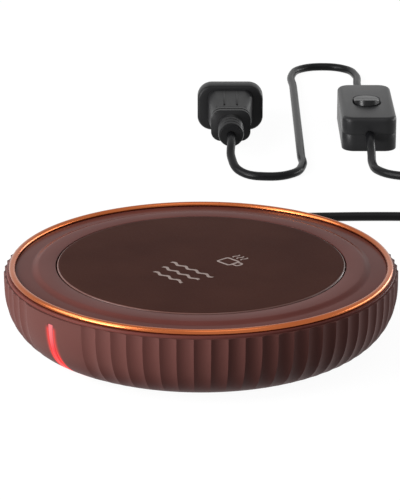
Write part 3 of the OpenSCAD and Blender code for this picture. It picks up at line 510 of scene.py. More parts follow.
def housingCutters():
    # Light slot, gland pocket, foot recesses and vent slots
    under, wall, beyond = housing["underside"], housing["wall"], 2
    cutter = sideBar(housing["slotWidth"], housing["sideRadius"] + beyond,
                     housing["sideRadius"] - wall - beyond, *housing["slotAngles"])
    bore = housing["glandBore"]
    section = [(radius, y) for radius, start, end in bore for y in (start, end)]
    gland = spinSection([(0, bore[0][1])] + section + [(0, bore[-1][2])], 64)
    turnToRear(gland, 0, 0, housing["glandHeight"])
    mergeInto(cutter, gland)
    recess = housing["footRecess"]
    for place in ringPlaces(housing["footRing"], 4, 45):
        mergeInto(cutter, pin(housing["footRadius"], under - recess, under + recess, place, 48))
    for side in (-1, 1):
        for y in housing["ventPlaces"]:
            mergeInto(cutter, slab(*housing["ventSize"], under - 1, under + housing["ventDepth"],
                                   housing["ventRound"], 6, (side * housing["ventRow"], y)))
    bmesh.ops.recalc_face_normals(cutter, faces=cutter.faces)
    return cutter


def cornerKey(vert):
    return tuple(round(c, 4) for c in vert.co)


def makeHousing(material):
    wall, rim, under = housing["wall"], housing["rim"], housing["underside"]
    bodyR, centreR = housing["bodyRadius"], housing["centreRadius"]
    section = [(bodyR, rim), (bodyR, rim - 1)] + outerCurve() + [(0, under), (0, under + wall)]
    section += innerCurve()[::-1] + [(bodyR - wall, rim)]
    start = housing["panelAngle"] + housing["panelPlaces"] / 2 * flutePitch
    bm = spinSection(section, housing["fluteCount"] * housing["columnsPerFlute"], start)
    ridgeCorners = set()
    for vert in bm.verts:
        out = math.hypot(vert.co.x, vert.co.y)
        drop = max(0, housing["waist"] - vert.co.z)
        onInside = math.hypot(out - centreR, drop) < housing["sideRadius"] - wall / 2
        if onInside or out < centreR + 1:
            continue
        below = math.atan2(drop, out - centreR)
        hollow, depth, onRidge = fluteHollow(vert.co.x, vert.co.y, below)
        inwards = Vector((-vert.co.x / out * math.cos(below), -vert.co.y / out * math.cos(below),
                          math.sin(below)))
        vert.co += inwards * hollow
        if onRidge and depth > housing["crispDepth"]:
            ridgeCorners.add(cornerKey(vert))
    bm = combine(bm, housingCutters(), "DIFFERENCE")
    for edge in bm.edges:
        if all(cornerKey(vert) in ridgeCorners for vert in edge.verts):
            edge.smooth = False
    floorFaces = {face for face in bm.faces if face.normal.z < -0.999
                  and abs(face.calc_center_median().z - under) < 0.01}
    for edge in {edge for face in floorFaces for edge in face.edges}:
        edge.smooth = all(other in floorFaces for other in edge.link_faces)
    finishPiece("housing", bm, material, ["base_shell"], sharp=50)


def acrossPanel(tree):
    # Millimetres out along the panel's middle, across it and up
    coords = tree.nodes.new("ShaderNodeTexCoord")
    turned = addNode(tree, "ShaderNodeMapping", {
        "Rotation": (0, 0, math.radians(-housing["panelAngle"])), "Scale": (1 / mm,) * 3})
    tree.links.new(coords.outputs["Object"], turned.inputs["Vector"])
    parts = tree.nodes.new("ShaderNodeSeparateXYZ")
    tree.links.new(turned.outputs["Vector"], parts.inputs["Vector"])
    return parts.outputs["X"], calculate(tree, "ABSOLUTE", parts.outputs["Y"]), parts.outputs["Z"]


housingPaint = {
    # painted shade: the plastic is darker and redder towards the underside
    "colours": [(0, "420f08"), (1, "5b3834")],
    "heights": (1, 13),
    "clouds": 0.06,
    "dull": (0.4, 0.48),
    "grain": 1800,
    "grainDepth": 3e-6,
    "specular": 0.06,
    # painted glow beside the light bar: its colour, reach and strength follow
    "spill": "ff1c1c",
    "spillAcross": (0.9, 3.6),
    "spillOut": (40, 50),
    "spillTop": (21.4, 19),
    "spillHeights": (14, 3),
    "spillPower": (0.85, 2.4),
}


def housingFinish():
    # Moulded brown plastic, painted darker and redder towards the underside as shade, with a
    # painted red glow beside the light bar in place of the light it spills
    look = housingPaint
    material, tree, shader = newMaterial("housing plastic")
    out, across, height = acrossPanel(tree)
    clouds = spread(tree, noiseOn(tree, 30), -look["clouds"], look["clouds"])
    share = calculate(tree, "ADD", rampBetween(tree, height, *look["heights"]), clouds)
    tree.links.new(colourRamp(tree, share, look["colours"]), shader.inputs["Base Color"])
    addGrain(tree, shader, look["grain"], (1, 1, 1), look["dull"], look["grainDepth"])
    # Painted glow: emission on the plastic beside the light bar in place of the light it spills
    near = rampBetween(tree, across, *look["spillAcross"], 1, 0)
    outwards = rampBetween(tree, out, *look["spillOut"])
    low = rampBetween(tree, height, *look["spillTop"])
    spill = calculate(tree, "MULTIPLY", calculate(tree, "MULTIPLY", near, outwards), low)
    power = rampBetween(tree, height, *look["spillHeights"], *look["spillPower"])
    glow = calculate(tree, "MULTIPLY", calculate(tree, "POWER", spill, 2), power)
    tree.links.new(glow, shader.inputs["Emission Strength"])
    setSockets(shader, {"Specular IOR Level": look["specular"],
                        "Emission Color": linear(look["spill"])})
    return material


# Light bar

lightBar = {
    "width": 2.2,
    "topAngle": 2,
    "lowAngle": 56,
    "edgeRound": 0.12,
    "clearance": 0.1,
    "flangeWidth": 7,
    "flangeThickness": 1.2,
    "flangeInset": (1.5, 2),  # degrees short of the bar's ends
    "glowColours": [(0, "ff0c10"), (0.45, "ff3c44"), (1, "ff8488")],
    "glowHeights": (5, 21),
    "glowAcross": (0.55, 1.15),
    "glow": (0.95, 0.55),
    "glowGrain": (0.96, 1.04),
    "unlit": "300709",
}


def litFinish():
    # Pink where the lamps stand behind it, deep red at the lower end and along the edges
    material, tree, shader = newMaterial("lit bar")
    across, height = acrossPanel(tree)[1:]
    rise = rampBetween(tree, height, *lightBar["glowHeights"])
    colour = colourRamp(tree, rise, lightBar["glowColours"])
    tree.links.new(colour, shader.inputs["Emission Color"])
    glow = rampBetween(tree, across, *lightBar["glowAcross"], *lightBar["glow"])
    grain = spread(tree, noiseOn(tree, 900, 2.0), *lightBar["glowGrain"])
    tree.links.new(calculate(tree, "MULTIPLY", glow, grain), shader.inputs["Emission Strength"])
    setSockets(shader, {"Base Color": linear(lightBar["unlit"]), "Roughness": 0.3,
                        "Specular IOR Level": 0.1})
    return material


def makeLightBar(material):
    reach, gap = housing["sideRadius"], lightBar["clearance"]
    inner = reach - housing["wall"] - gap
    top, low = lightBar["topAngle"], lightBar["lowAngle"]
    bm = sideBar(lightBar["width"], reach, inner - gap / 2, top, low, onSurface=True)
    roundEdges(bm, edgesOver(bm, 60), lightBar["edgeRound"], 2)
    fromTop, fromLow = lightBar["flangeInset"]
    mergeInto(bm, sideBar(lightBar["flangeWidth"], inner - gap,
                          inner - lightBar["flangeThickness"], top + fromTop, low - fromLow))
    finishPiece("light_guide", bm, material, ["light_bar"])


# Cover, plate and trim ring

cover = {
    "openRadius": 47.9,
    "openRound": 0.2,
    "thickness": 1.8,
    "stepRadius": 56.2,
    "stepWidth": 3,
    "stepHeight": 0.8,
    "stepPoints": 24,
    "edgeHeight": 0.8,
    "edgeRadius": 64.1,
    "edgeRound": 0.4,
    "bandHeight": 1.1,
    "bandRound": 0.15,
    "skirtRadius": 62.7,
    "skirtHeight": 1.8,
    "skirtThickness": 1.3,
    "bossRing": 54.4,
    "bossRadius": 2.8,
    "spinSteps": 240,
}
plate = {
    "radius": 47.5,
    "bevel": [(0, 0.35), (0.06, 0.23), (0.27, 0.05), (0.4, 0)],  # inwards and down
    "topRings": (46.3, 28.5, 0),
    "flangeRadius": 50,
    "flangeThickness": 1,
}
trim = {
    "ringRadius": 62.25,
    "beadRadius": 1.05,
    "beadGap": 0.05,
    "beadPoints": 26,
    "footWidth": 1.6,
    "grooveHalf": 0.91,
    "spinSteps": 256,
}


def makeCover(material):
    low, top = heights("top_cover")
    rim = housing["rim"]
    band, edge = rim + cover["bandHeight"], rim + cover["edgeHeight"]
    under, bandUnder = top - cover["thickness"], band - cover["thickness"]
    openR, step, edgeR = cover["openRadius"], cover["stepRadius"], cover["edgeRadius"]
    openRound, bandRound, edgeRound = cover["openRound"], cover["bandRound"], cover["edgeRound"]
    bandEnd = trim["ringRadius"] - (trim["beadRadius"] + trim["beadGap"])
    groove = heights("trim_ring")[0]
    grooveIn = trim["ringRadius"] - trim["grooveHalf"]
    grooveOut = trim["ringRadius"] + trim["grooveHalf"]
    skirt, skirtLow = cover["skirtRadius"], rim - cover["skirtHeight"]
    skirtIn = skirt - cover["skirtThickness"]
    section = [(openR, under)]
    section += arcPoints(openR + openRound, top - openRound, openRound, 180, 90, 4)
    for k in range(1, cover["stepPoints"] + 1):
        share = k / cover["stepPoints"]
        section.append((step - cover["stepWidth"] * (1 - share),
                        top - cover["stepHeight"] * (1 - math.cos(math.pi * share)) / 2))
    section += arcPoints(bandEnd - bandRound, band - bandRound, bandRound, 90, 0, 3)
    section += [(bandEnd, edge), (grooveIn, edge), (grooveIn, groove)]
    section += [(grooveOut, groove), (grooveOut, edge)]
    section += arcPoints(edgeR - edgeRound, edge - edgeRound, edgeRound, 90, 0, 5)
    section += [(edgeR, rim), (skirt, rim), (skirt, skirtLow), (skirtIn, skirtLow)]
    section += [(skirtIn, bandUnder), (step - cover["stepWidth"] + 1, bandUnder)]
    section += [(step - cover["stepWidth"], under)]
    bm = spinSection(section, cover["spinSteps"])
    for place in ringPlaces(cover["bossRing"], 4):
        mergeInto(bm, pin(cover["bossRadius"], low, bandUnder, place))
    finishPiece("cover", bm, material, ["top_cover"])


def makePlate(material, highlightEdgeMaterial):
    # Its narrow bevel is painted lighter as a highlight line, and its gloss also catches the lamps
    low, high = heights("heating_plate")
    radius, flange = plate["radius"], plate["flangeRadius"]
    ledge = low + plate["flangeThickness"]
    section = [(0, low), (flange, low), (flange, ledge), (radius, ledge)]
    section += [(radius - inwards, high - down) for inwards, down in plate["bevel"]]
    section += [(ring, high) for ring in plate["topRings"]]
    bm = spinSection(section, cover["spinSteps"])
    bevelLow, bevelIn = high - plate["bevel"][0][1], radius - plate["bevel"][-1][0] - hair
    for face in bm.faces:
        middle = face.calc_center_median()
        if bevelLow < middle.z < high and middle.xy.length > bevelIn:
            face.material_index = 1
    piece = finishPiece("hot_plate", bm, material, ["heating_plate"])
    piece.data.materials.append(highlightEdgeMaterial)


def makeTrimRing(material):
    low, top = heights("trim_ring")
    ring, bead, half = trim["ringRadius"], trim["beadRadius"], trim["footWidth"] / 2
    start = math.degrees(math.asin(-math.sqrt(1 - (half / bead) ** 2)))
    section = arcPoints(ring, top - bead, bead, start, 180 - start, trim["beadPoints"])
    section += [(ring - half, low), (ring + half, low)]
    bm = spinSection(section, trim["spinSteps"])
    finishPiece("trim_bead", bm, material, ["trim_ring"])


# Mark on the plate: a mug over three waves

mark = {
    "at": (-3, -7),
    "turn": -47,
    "thickness": 0.03,
    "stroke": 0.75,
    "mugAt": (2.3, 14.2),
    "mugSize": (6.4, 5.6),
    "mugRound": 1.1,
    "handleSize": (3.6, 3.4),
    "handleRound": 1.2,
    "handleOut": (0.6, 0.4),
    "steamSize": (3.2, 0.6),
    "steamSwing": 0.35,
    "steamPlaces": (-1.9, 0, 1.9),
    "steamRise": 2.7,
    "lines": [(0, 20), (-5.2, 17), (-10.4, 14)],  # place and length
    "lineWidth": 1.1,
    "lineSwing": 0.55,
    "waveLength": 5,
}


def flatGrid(bm, columns, width, length):
    made = bmesh.ops.create_grid(bm, x_segments=columns, y_segments=1, size=0.5)["verts"]
    bmesh.ops.scale(bm, vec=(width, length, 1), verts=made)
    return made


def addWave(bm, length, width, swing, waves, centre, degrees=0.0):
    made = flatGrid(bm, 40, length, width)
    for vert in made:
        vert.co.y += swing * math.sin(2 * math.pi * waves * (vert.co.x / length + 0.5))
    turnAndMove(bm, made, degrees, "Z", (*centre, 0))


def addFrame(bm, size, corner, stroke, centre):
    # A flat outline with round corners
    others = set(bm.faces)
    made = flatGrid(bm, 1, *size)
    bmesh.ops.translate(bm, verts=made, vec=(*centre, 0))
    bmesh.ops.bevel(bm, geom=list(made), offset=corner, offset_type="OFFSET", segments=5,
                    profile=0.5, affect="VERTICES", material=-1)
    face = next(f for f in bm.faces if f not in others)
    bmesh.ops.inset_region(bm, faces=[face], thickness=stroke, use_boundary=True,
                           use_even_offset=True)
    bmesh.ops.delete(bm, geom=[face], context="FACES")


def makeMark(material):
    bm, handle = bmesh.new(), bmesh.new()
    mugX, mugY = mark["mugAt"]
    width, height = mark["mugSize"]
    outX, upY = mark["handleOut"]
    addFrame(bm, mark["mugSize"], mark["mugRound"], mark["stroke"], mark["mugAt"])
    addFrame(handle, mark["handleSize"], mark["handleRound"], mark["stroke"] * 0.9,
             (mugX + width / 2 + outX, mugY + upY))
    cutThrough(handle, (mugX + width / 2, 0, 0), (-1, 0, 0), clear_outer=True)
    mergeInto(bm, handle)
    for x in mark["steamPlaces"]:
        addWave(bm, *mark["steamSize"], mark["steamSwing"], 1,
                (mugX + x, mugY + height / 2 + mark["steamRise"]), 90)
    for offset, length in mark["lines"]:
        addWave(bm, length, mark["lineWidth"], mark["lineSwing"], length / mark["waveLength"],
                (0, offset))
    lifted = extrudeFaces(bm, list(bm.faces))
    bmesh.ops.translate(bm, verts=lifted, vec=(0, 0, mark["thickness"]))
    bmesh.ops.recalc_face_normals(bm, faces=bm.faces)
    turnAndMove(bm, bm.verts, mark["turn"], "Z", (*mark["at"], heights("heating_plate")[1]))
    finishPiece("plate_mark", bm, material)


# Gland boot

boot = {
    "axisHeight": 9,
    "pocketY": 58.99,
    "wall": 5,
    "bore": 1.75,
    "collar": 2,
    "innerCollar": 1.6,
    "collarRadius": 5.6,
    "collarRound": 0.4,
    "innerChamfer": 0.3,
    "neckRadius": 4.15,
    "length": 22,
    "rootRadius": 4.4,
    "tipRadius": 2.8,
    "tipRound": 0.3,
    "gaps": 5,
    "lastRib": 0.6,  # as a share of the others
    "gapSection": [(0, -0.75), (0.12, -0.6), (0.5, -0.45), (0.5, 0.45), (0.12, 0.6), (0.05, 0.75)],
}


def makeBoot(material):
    collar, wall = boot["collar"], boot["wall"]
    inner, end = -wall - boot["innerCollar"], collar + boot["length"]
    bore, neck, root = boot["bore"], boot["neckRadius"], boot["rootRadius"]
    collarR, collarRound, tipRound = boot["collarRadius"], boot["collarRound"], boot["tipRound"]
    chamfer = boot["innerChamfer"]
    slope = (root - boot["tipRadius"]) / boot["length"]
    section = [(bore, inner), (collarR - chamfer, inner), (collarR, inner + chamfer)]
    section += [(collarR, -wall), (neck, -wall), (neck, 0), (collarR, 0)]
    section += arcPoints(collarR - collarRound, collar - collarRound, collarRound, 0, 90, 4)
    section.append((root, collar))
    for k in range(1, boot["gaps"] + 1):
        middle = collar + k * boot["length"] / (boot["gaps"] + boot["lastRib"])
        radius = root - slope * (middle - collar)
        section += [(radius - inwards, middle + along) for inwards, along in boot["gapSection"]]
    section += arcPoints(boot["tipRadius"] - tipRound, end - tipRound, tipRound, 0, 90, 3)
    section.append((bore, end))
    bm = spinSection(section, 64)
    turnToRear(bm, 0, boot["pocketY"], boot["axisHeight"])
    return finishPiece("gland_boot", bm, material, ["strain_relief"])


# In-line switch

switch = {
    "at": (68, 230),
    "width": 22,
    "length": 50,
    "height": 14,
    "split": 7,
    "corner": 5,
    "wall": 1.8,
    "lowRound": 0.5,
    "splitRound": 0.22,
    "topRound": 1.6,
    "bore": 1.75,
    "grip": (8, 5),
    "gripInset": 2,
    "gripRound": 0.4,
    "postRadius": 2.6,
    "screwAt": (7, 15),
    "screwHoles": [(2.18, -1, 1.6), (1.25, 1, 8)],  # radius, from, to
    "opening": (11.0, 16.4),
    "openingDepth": 3,  # below the pivot
    "flare": 0.35,
    "pivotHeight": 10.6,
    "pinRadius": 1,
    "pinPlay": 0.05,
    "cheekX": 6.3,
    "cheek": (1.6, 6),
    "cheekDepth": 2.4,
    "cheekRound": 0.2,
    "splitGap": 0.05,
}


def placeSwitch(bm):
    bmesh.ops.translate(bm, verts=bm.verts, vec=(*switch["at"], 0))


def screwPlaces():
    x, y = switch["screwAt"]
    return [(side * x, side * y) for side in (-1, 1)]


def addInnerBlocks(bm, low, high):
    # Grips round the lead at both ends, and two screw bosses
    gripY = switch["length"] / 2 - switch["wall"] / 2 - switch["gripInset"]
    for side, screwPlace in zip((-1, 1), screwPlaces()):
        grip = slab(*switch["grip"], low, high, switch["gripRound"], 2, (0, side * gripY))
        bm = combine(bm, grip, "UNION")
        bm = combine(bm, pin(switch["postRadius"], low, high, screwPlace), "UNION")
    return bm


def caseHalf(low, high, outer, edgeRound, hollow, blocks):
    # A slab with its outer and split edges rounded, hollowed, with its inner blocks
    width, length, wall, corner = (switch[key] for key in ("width", "length", "wall", "corner"))
    bm = slab(width, length, low, high, corner, 12)
    roundEdges(bm, edgesAt(bm, outer), *edgeRound)
    roundEdges(bm, edgesAt(bm, switch["split"]), switch["splitRound"], 2)
    inside = slab(width - 2 * wall, length - 2 * wall, *hollow, corner - wall)
    return addInnerBlocks(combine(bm, inside, "DIFFERENCE"), *blocks)


def cutLeadBore(bm):
    bore = rod(switch["bore"], switch["length"], switch["split"], -90, "X")
    return combine(bm, bore, "DIFFERENCE")


def makeSwitchBase(material):
    wall, split = switch["wall"], switch["split"]
    bm = caseHalf(0, split, 0, (switch["lowRound"], 3), (wall, split + 2),
                  (wall / 2, split - switch["splitGap"]))
    bm = cutLeadBore(bm)
    for place in screwPlaces():
        for hole in switch["screwHoles"]:
            bm = combine(bm, pin(*hole, place), "DIFFERENCE")
    placeSwitch(bm)
    return finishPiece("switch_lower_case", bm, material, ["switch_base"])


def openingCutter(low, high):
    # Straight sides that flare a little at the top
    width, length = switch["opening"]
    flare = switch["flare"]
    bm = slab(width, length, low, high - flare, width / 2 - hair, 16)
    top = max(bm.faces, key=lambda face: face.calc_center_median().z)
    lifted = extrudeFaces(bm, [top])
    bmesh.ops.translate(bm, verts=lifted, vec=(0, 0, 2 * flare))
    bmesh.ops.scale(bm, verts=lifted, vec=(1 + 4 * flare / width, 1 + 4 * flare / length, 1))
    bmesh.ops.delete(bm, geom=[face for face in [top] if face.is_valid], context="FACES")
    bmesh.ops.recalc_face_normals(bm, faces=bm.faces)
    return bm


def makeSwitchCover(material):
    wall, split, high = switch["wall"], switch["split"], switch["height"]
    pivot, thickness = switch["pivotHeight"], switch["cheek"][0]
    bm = caseHalf(split, high, high, (switch["topRound"], 6), (split - 2, high - wall),
                  (split + switch["splitGap"], high - wall / 2))
    for side in (-1, 1):
        cheek = slab(*switch["cheek"], pivot - switch["cheekDepth"], high - wall / 2,
                     switch["cheekRound"], 2, (side * switch["cheekX"], 0))
        bm = combine(bm, cheek, "UNION")
    bm = combine(bm, openingCutter(pivot - switch["openingDepth"], high), "DIFFERENCE")
    reach = switch["cheekX"] + thickness / 2 + 0.5
    pivotHole = rod(switch["pinRadius"] + switch["pinPlay"], reach, pivot, 90, "Y")
    bm = cutLeadBore(combine(bm, pivotHole, "DIFFERENCE"))
    placeSwitch(bm)
    return finishPiece("switch_upper_case", bm, material, ["switch_cover"])


rocker = {
    "size": (10.4, 14.8),
    "skirt": 2,
    "top": 3.6,
    "tilt": 8,
    "valley": 0.6,  # how softly the two halves of the top meet
    "cuts": (-5, -2.5, -1, 0, 1, 2.5, 5),
    "edgeRound": 0.55,
    "pinReach": 6.9,
    "plungerRadius": 1,
    "plungerGap": 0.1,
}


def makeRocker(material):
    # The top dips to a valley over the pivot; the far end is pressed in at rest
    width, length = rocker["size"]
    valley = rocker["valley"]
    slope = math.tan(math.radians(rocker["tilt"]))
    bm = slab(width, length, -rocker["skirt"], rocker["top"], width / 2 - hair, 16)
    for y in rocker["cuts"]:
        cutThrough(bm, (0, y, 0), (0, 1, 0), dist=nearZero)
    for vert in bm.verts:
        if vert.co.z > 0:
            vert.co.z += slope * (math.sqrt(vert.co.y ** 2 + valley) - valley)
    topEdges = [edge for edge in edgesOver(bm, 50) if all(vert.co.z > 2 for vert in edge.verts)]
    roundEdges(bm, topEdges, rocker["edgeRound"], 4)
    bm = combine(bm, rod(switch["pinRadius"], rocker["pinReach"], 0, 90, "Y"), "UNION")
    low = heights("switch_rocker")[0] - switch["pivotHeight"] + rocker["plungerGap"]
    bm = combine(bm, pin(rocker["plungerRadius"], low, 0), "UNION")
    turnAndMove(bm, bm.verts, -rocker["tilt"], "X", (*switch["at"], switch["pivotHeight"]))
    return finishPiece("rocker_button", bm, material, ["switch_rocker"],
                       body="rocker")


# Plug

plug = {
    "at": (12, 196),
    "axisHeight": 9.5,
    "bore": (1.75, -1, 11),
    "bootLength": 13.5,
    "bootDiameter": 10.5,
    "ribs": 4,
    "ribSection": [(0.02, 2), (0.75, 2), (0.85, 1.1), (1.05, 0.75), (2.425, 0.15), (2.625, 0.3),
                   (2.725, 2)],
    "collarLength": 5,
    "collarSection": [(0, 0.4), (0.25, 1), (1.8, 1), (2.05, 0.1), (2.9, 0.1), (3.1, 1), (4.75, 1),
                      (5, 0.5)],
    "waist": (15, 13),
    "body": (18.7, 16),
    "bodyLength": 20,
    "bodyInset": 0.15,
    "bodyRings": 7,
    "corner": 4,
    "flange": (27, 19),
    "flangeLength": 8,
    "flangeCorner": 6,
    "flangeSection": [(0, 2), (0.15, 1.3), (0.5, 0.5), (1, 0), (7, 0), (7.65, 0.35), (8, 1.2)],
    "ridgesX": (-2.6, 2.6),
    "ridge": (0.8, 1.6, 15),
    "ridgeSunk": 0.45,
    "ridgeRound": 0.2,
    "bladePitch": 12.7,
    "blade": (1.5, 6.35),
    "bladePlay": 0.1,
    "bladeRoot": 7,
    "slotLength": 20,
}


def addRing(bm, height, width, depth, corner, segments=64):
    # A loop with round corners, square to Z
    made = bmesh.ops.create_circle(bm, segments=segments, radius=1)["verts"]
    turnAndMove(bm, made, 180 / segments, "Z")
    for vert in made:
        x, y = vert.co.x, vert.co.y
        vert.co.x = math.copysign(width / 2 - corner, x) + corner * x
        vert.co.y = math.copysign(depth / 2 - corner, y) + corner * y
        vert.co.z = height
    return [edge for edge in bm.edges if edge.verts[0] in made and edge.verts[1] in made]


def loftRings(rings):
    bm = bmesh.new()
    loops = [addRing(bm, *ring) for ring in rings]
    for lower, upper in zip(loops, loops[1:]):
        bmesh.ops.bridge_loops(bm, edges=lower + upper)
    for loop in (loops[0], loops[-1]):
        bmesh.ops.contextual_create(bm, geom=loop)
    bmesh.ops.recalc_face_normals(bm, faces=bm.faces)
    return bm


def plugRings():
    # Height, width, depth and corner of each ring, from the lead's end to the blades
    rings = []
    collar, full, corner = plug["bootLength"], plug["bootDiameter"], plug["corner"]
    for k in range(plug["ribs"]):
        for step, less in plug["ribSection"]:
            width = full - less
            rings.append((k * collar / plug["ribs"] + step, width, width, width / 2 - hair))
    waist, waistDepth = plug["waist"]
    for step, more in plug["collarSection"]:
        rings.append((collar + step, waist + more, waistDepth - 1 + more, corner))
    body = collar + plug["collarLength"]
    wide, deep = plug["body"]
    inset, bodyLength = plug["bodyInset"], plug["bodyLength"]
    for k in range(plug["bodyRings"]):
        share = k / (plug["bodyRings"] - 1)
        rings.append((body + inset + (bodyLength - 2 * inset) * share,
                      waist + (wide - waist) * share,
                      waistDepth + (deep - waistDepth) * share, corner))
    flange = body + bodyLength
    width, depth = plug["flange"]
    for step, less in plug["flangeSection"]:
        rings.append((flange + step, width - less, depth - less, plug["flangeCorner"] - less / 2))
    return rings


def makePlug(material):
    bm = loftRings(plugRings())
    body, bodyLength = plug["bootLength"] + plug["collarLength"], plug["bodyLength"]
    face = body + bodyLength + plug["flangeLength"]
    waistDepth, deep = plug["waist"][1], plug["body"][1]
    tilt = math.degrees(math.atan((deep - waistDepth) / 2 / bodyLength))
    out = (waistDepth + deep) / 4 - plug["ridgeSunk"]
    for x in plug["ridgesX"]:
        for side in (-1, 1):
            ridge = block(plug["ridge"], (x, side * out, body + bodyLength / 2), -side * tilt)
            roundEdges(ridge, edgesOver(ridge, 60), plug["ridgeRound"], 2)
            bm = combine(bm, ridge, "UNION")
    bm = combine(bm, pin(*plug["bore"]), "DIFFERENCE")
    thickness, width = (size + plug["bladePlay"] for size in plug["blade"])
    middle = face - plug["bladeRoot"] + plug["slotLength"] / 2
    for side in (-1, 1):
        slot = block((thickness, width, plug["slotLength"]),
                     (side * plug["bladePitch"] / 2, 0, middle))
        bm = combine(bm, slot, "DIFFERENCE")
    turnToRear(bm, *plug["at"], plug["axisHeight"])
    return finishPiece("plug_moulding", bm, material, ["plug_body"], sharp=28)


# Finishes of the outside

copperLook = {"metallic": 1.0, "grain": 1200, "grainDepth": 3e-8, "stretch": (1, 1, 6)}
bladeLook = {"metallic": 1.0, "grain": 1500, "grainDepth": 2e-6, "stretch": (1, 0.1, 1)}
finishes = {
    "housing": housingFinish(),
    "lit": litFinish(),
    "cover": mouldedFinish("cover plastic", "603530", "673a35", 0.22, grain=1800,
                           grainDepth=3e-7, specular=0.03, glossSpread=0.01),
    "plate": mouldedFinish("plate enamel", "381b14", "40221a", 0.4, grain=1500,
                           grainDepth=3e-6, specular=0.01),
    # A lighter colour on the plate's bevel: a painted highlight line
    "plateEdgeHighlight": mouldedFinish("edge painted as highlight", "5c3a33", "66433c", 0.22, grain=1500,
                               specular=0.3, stretch=(1, 1, 8)),
    "bead": mouldedFinish("rose copper", "a35630", "b06239", 0.24, glossSpread=0.01, **copperLook),
    "mark": mouldedFinish("printed mark", "8f7d77", "9c8a84", 0.5, specular=0.3),
    "seal": mouldedFinish("silicone seal", "1c1717", "241e1e", 0.6),
    "boot": mouldedFinish("black boot", "0d0d0e", "131314", 0.45, specular=0.15),
    "lead": mouldedFinish("lead sheath", "08080a", "0e0e10", 0.32, grain=1500, specular=0.12),
    "case": mouldedFinish("switch case", "1e1e1f", "252526", 0.36, grain=2200,
                          grainDepth=5e-6, specular=0.15),
    "rocker": mouldedFinish("rocker button", "151516", "1b1b1c", 0.3, grain=2200,
                            grainDepth=3e-6, specular=0.2),
    "plug": mouldedFinish("plug moulding", "101011", "171718", 0.4, grain=1800,
                          grainDepth=6e-6, specular=0.15),
    "blade": mouldedFinish("nickel blade", "b9b3a8", "cfcac0", 0.22, **bladeLook),
}
print("outside finishes ready")


# The lead in two lengths, on either side of the switch

leadOut = makeCord("lead_to_switch", lead["out"] + coilTurns() + lead["toSwitch"], finishes["lead"])
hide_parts("cord_lead", "cord_coil", "cord_run")
leadOn = makeCord("lead_to_plug", lead["toPlug"], finishes["lead"])
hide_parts("cord_tail")
print("lead laid")

makeHousing(finishes["housing"])
print("housing made")
makeLightBar(finishes["lit"])
makeCover(finishes["cover"])
makePlate(finishes["plate"], finishes["plateEdgeHighlight"])
makeTrimRing(finishes["bead"])
makeMark(finishes["mark"])
print("top made")
gland = makeBoot(finishes["boot"])
lowerCase = makeSwitchBase(finishes["case"])
upperCase = makeSwitchCover(finishes["case"])
button = makeRocker(finishes["rocker"])
plugPiece = makePlug(finishes["plug"])
print("lead fittings made")


# Inner parts, which keep their own shape

innerMouldings = {
    # finish, dark and light colour, roughness, clouds, grain and its depth
    "mica_sheet": ("pressed mica", "9a8a68", "b3a27e", 0.55, 120, 700, 1e-5),
    "insulation_pad": ("ceramic felt", "cfc9ba", "dfdacd", 0.95, 200, 1400, 6e-5),
    "feet": ("foot rubber", "121111", "1a1919", 0.75, 40, 1200, 1.5e-5),
    "thermostat_body": ("bakelite", "2a1a14", "362219", 0.4, 220),
    "terminal_block": ("terminal ceramic", "d5d0c4", "e2ded3", 0.55, 40, 900, 1e-5),
    "control_board": ("solder mask", "173d25", "1f4a2e", 0.3, 40, 1800),
    "triac": ("chip moulding", "131313", "1a1a1a", 0.5, 40, 2600, 8e-6),
    "capacitor": ("dipped capacitor", "8c2c1a", "9c3a24", 0.25, 300),
    "clamp": ("clamp moulding", "1d1d1d", "262626", 0.5),
    "mains_cores": ("core sheath", "5e3420", "6c3f28", 0.4),
    "lamp_wires": ("red sheath", "8e241c", "a1302a", 0.4),
}
innerMetals = {
    # finish, dark and light colour, roughness, clouds and the stretch of the grain
    "heater_track": ("heater foil", "8a8a86", "9a9a96", 0.35, 40, (1, 6, 1)),
    "retainer_plate": ("zinc sheet", "8f9091", "a6a7a8", 0.38, 160, (6, 1, 1)),
    "pillars": ("turned brass", "a98a45", "bd9d55", 0.28, 40, (1, 1, 20)),
    "thermostat_cap": ("pressed aluminium", "b2b2b0", "c4c4c2", 0.3, 40, (1, 1, 8)),
    "thermal_fuse": ("plated fuse", "b4b1a8", "c6c3ba", 0.26, 40, (8, 1, 1)),
    "switch_contacts": ("stamped brass", "a3763c", "b7894c", 0.3, 40, (6, 1, 1)),
    "screws": ("zinc screw", "86878a", "9b9c9f", 0.32, 40, (1, 1, 12)),
}
innerFinishes = {
    "plate_seal": finishes["seal"],
    "plug_blades": finishes["blade"],
    "indicator_lamps": mouldedFinish("lamp resin", "e0d2c4", "efe4d8", 0.15, coat=0.5),
    "heater_wires": mouldedFinish("glass sleeve", "a39b8a", "bcb4a3", 0.8, 40, 1600, 3e-5,
                                  stretch=(1, 1, 3)),
}
for nodeName, look in innerMouldings.items():
    innerFinishes[nodeName] = mouldedFinish(*look)
for nodeName, (*look, stretch) in innerMetals.items():
    innerFinishes[nodeName] = mouldedFinish(*look, metallic=1.0, stretch=stretch)
sameFinish = {
    "thermostat_strap": "retainer_plate", "fuse_clip": "retainer_plate", "control_chip": "triac",
    "indicator_board": "control_board", "cord_clamp": "clamp", "contact_blade": "switch_contacts",
    "switch_cores": "mains_cores",
}
for nodeName in nodes:
    likeName = "screws" if nodeName.endswith("_screws") else sameFinish.get(nodeName, nodeName)
    if likeName in innerFinishes:
        for held in bpy.data.objects[nodeName].material_slots:
            held.material = innerFinishes[likeName]
print("inner parts finished")
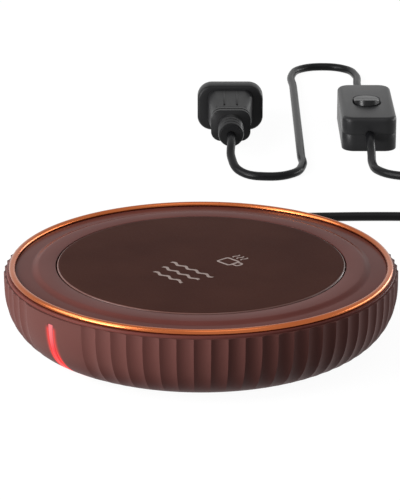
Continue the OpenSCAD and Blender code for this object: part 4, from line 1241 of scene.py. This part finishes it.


# Floor, sky and lamps

stage = {
    "floorSize": 6.0,
    "floorColour": (0.1, 0.1, 0.1, 1),
    "floorGlow": 0.95,
    "skyLight": 0.21,
}
white = (1, 1, 1, 1)
lamps = {
    # degrees to the right of the front, degrees above the table, metres away, size in metres, watts
    "key": (-72, 31, 1.1, (1.0, 0.8), 13),
    "low": (-57, 3, 1.1, (0.5, 0.3), 16),
    "rim": (118, 5, 1.3, (1.3, 0.35), 12),
    "top": (20, 70, 1.2, (0.6, 0.6), 1.5),
}


def seenDirectly(tree):
    # 1 for what the camera, glossy and clear surfaces see, 0 for light on matt surfaces
    path = tree.nodes.new("ShaderNodeLightPath")
    first = calculate(tree, "MAXIMUM", path.outputs["Is Camera Ray"], path.outputs["Is Glossy Ray"])
    return calculate(tree, "MAXIMUM", first, path.outputs["Is Transmission Ray"])


def makeFloor():
    bm = bmesh.new()
    bmesh.ops.create_grid(bm, x_segments=1, y_segments=1, size=stage["floorSize"] / 2)
    floor = asObject("floor", bm)
    material, tree, shader = newMaterial("floor")
    setSockets(shader, {"Base Color": stage["floorColour"], "Roughness": 0.9,
                        "Specular IOR Level": 0.0, "Emission Color": white})
    glow = calculate(tree, "MULTIPLY", seenDirectly(tree), stage["floorGlow"])
    tree.links.new(glow, shader.inputs["Emission Strength"])
    floor.data.materials.append(material)


def makeSky():
    world = bpy.data.worlds.new("sky")
    world.use_nodes = True
    bpy.context.scene.world = world
    tree = world.node_tree
    background = tree.nodes["Background"]
    setSockets(background, {"Color": white})
    strength = rampBetween(tree, seenDirectly(tree), 0, 1, stage["skyLight"], 1)
    tree.links.new(strength, background.inputs["Strength"])


def makeLamp(name, azimuth, height, distance, size, power):
    lamp = bpy.data.lights.new(name, "AREA")
    lamp.shape = "RECTANGLE"
    lamp.size, lamp.size_y = size
    lamp.energy = power
    holder = inScene(name, lamp)
    away = towards(azimuth, height)
    holder.location = away * distance
    holder.rotation_euler = (-away).to_track_quat("-Z", "Y").to_euler()


makeFloor()
makeSky()
for lampName, settings in lamps.items():
    makeLamp(lampName, *settings)
bpy.context.scene.view_settings.view_transform = "Standard"
print("stage lit")
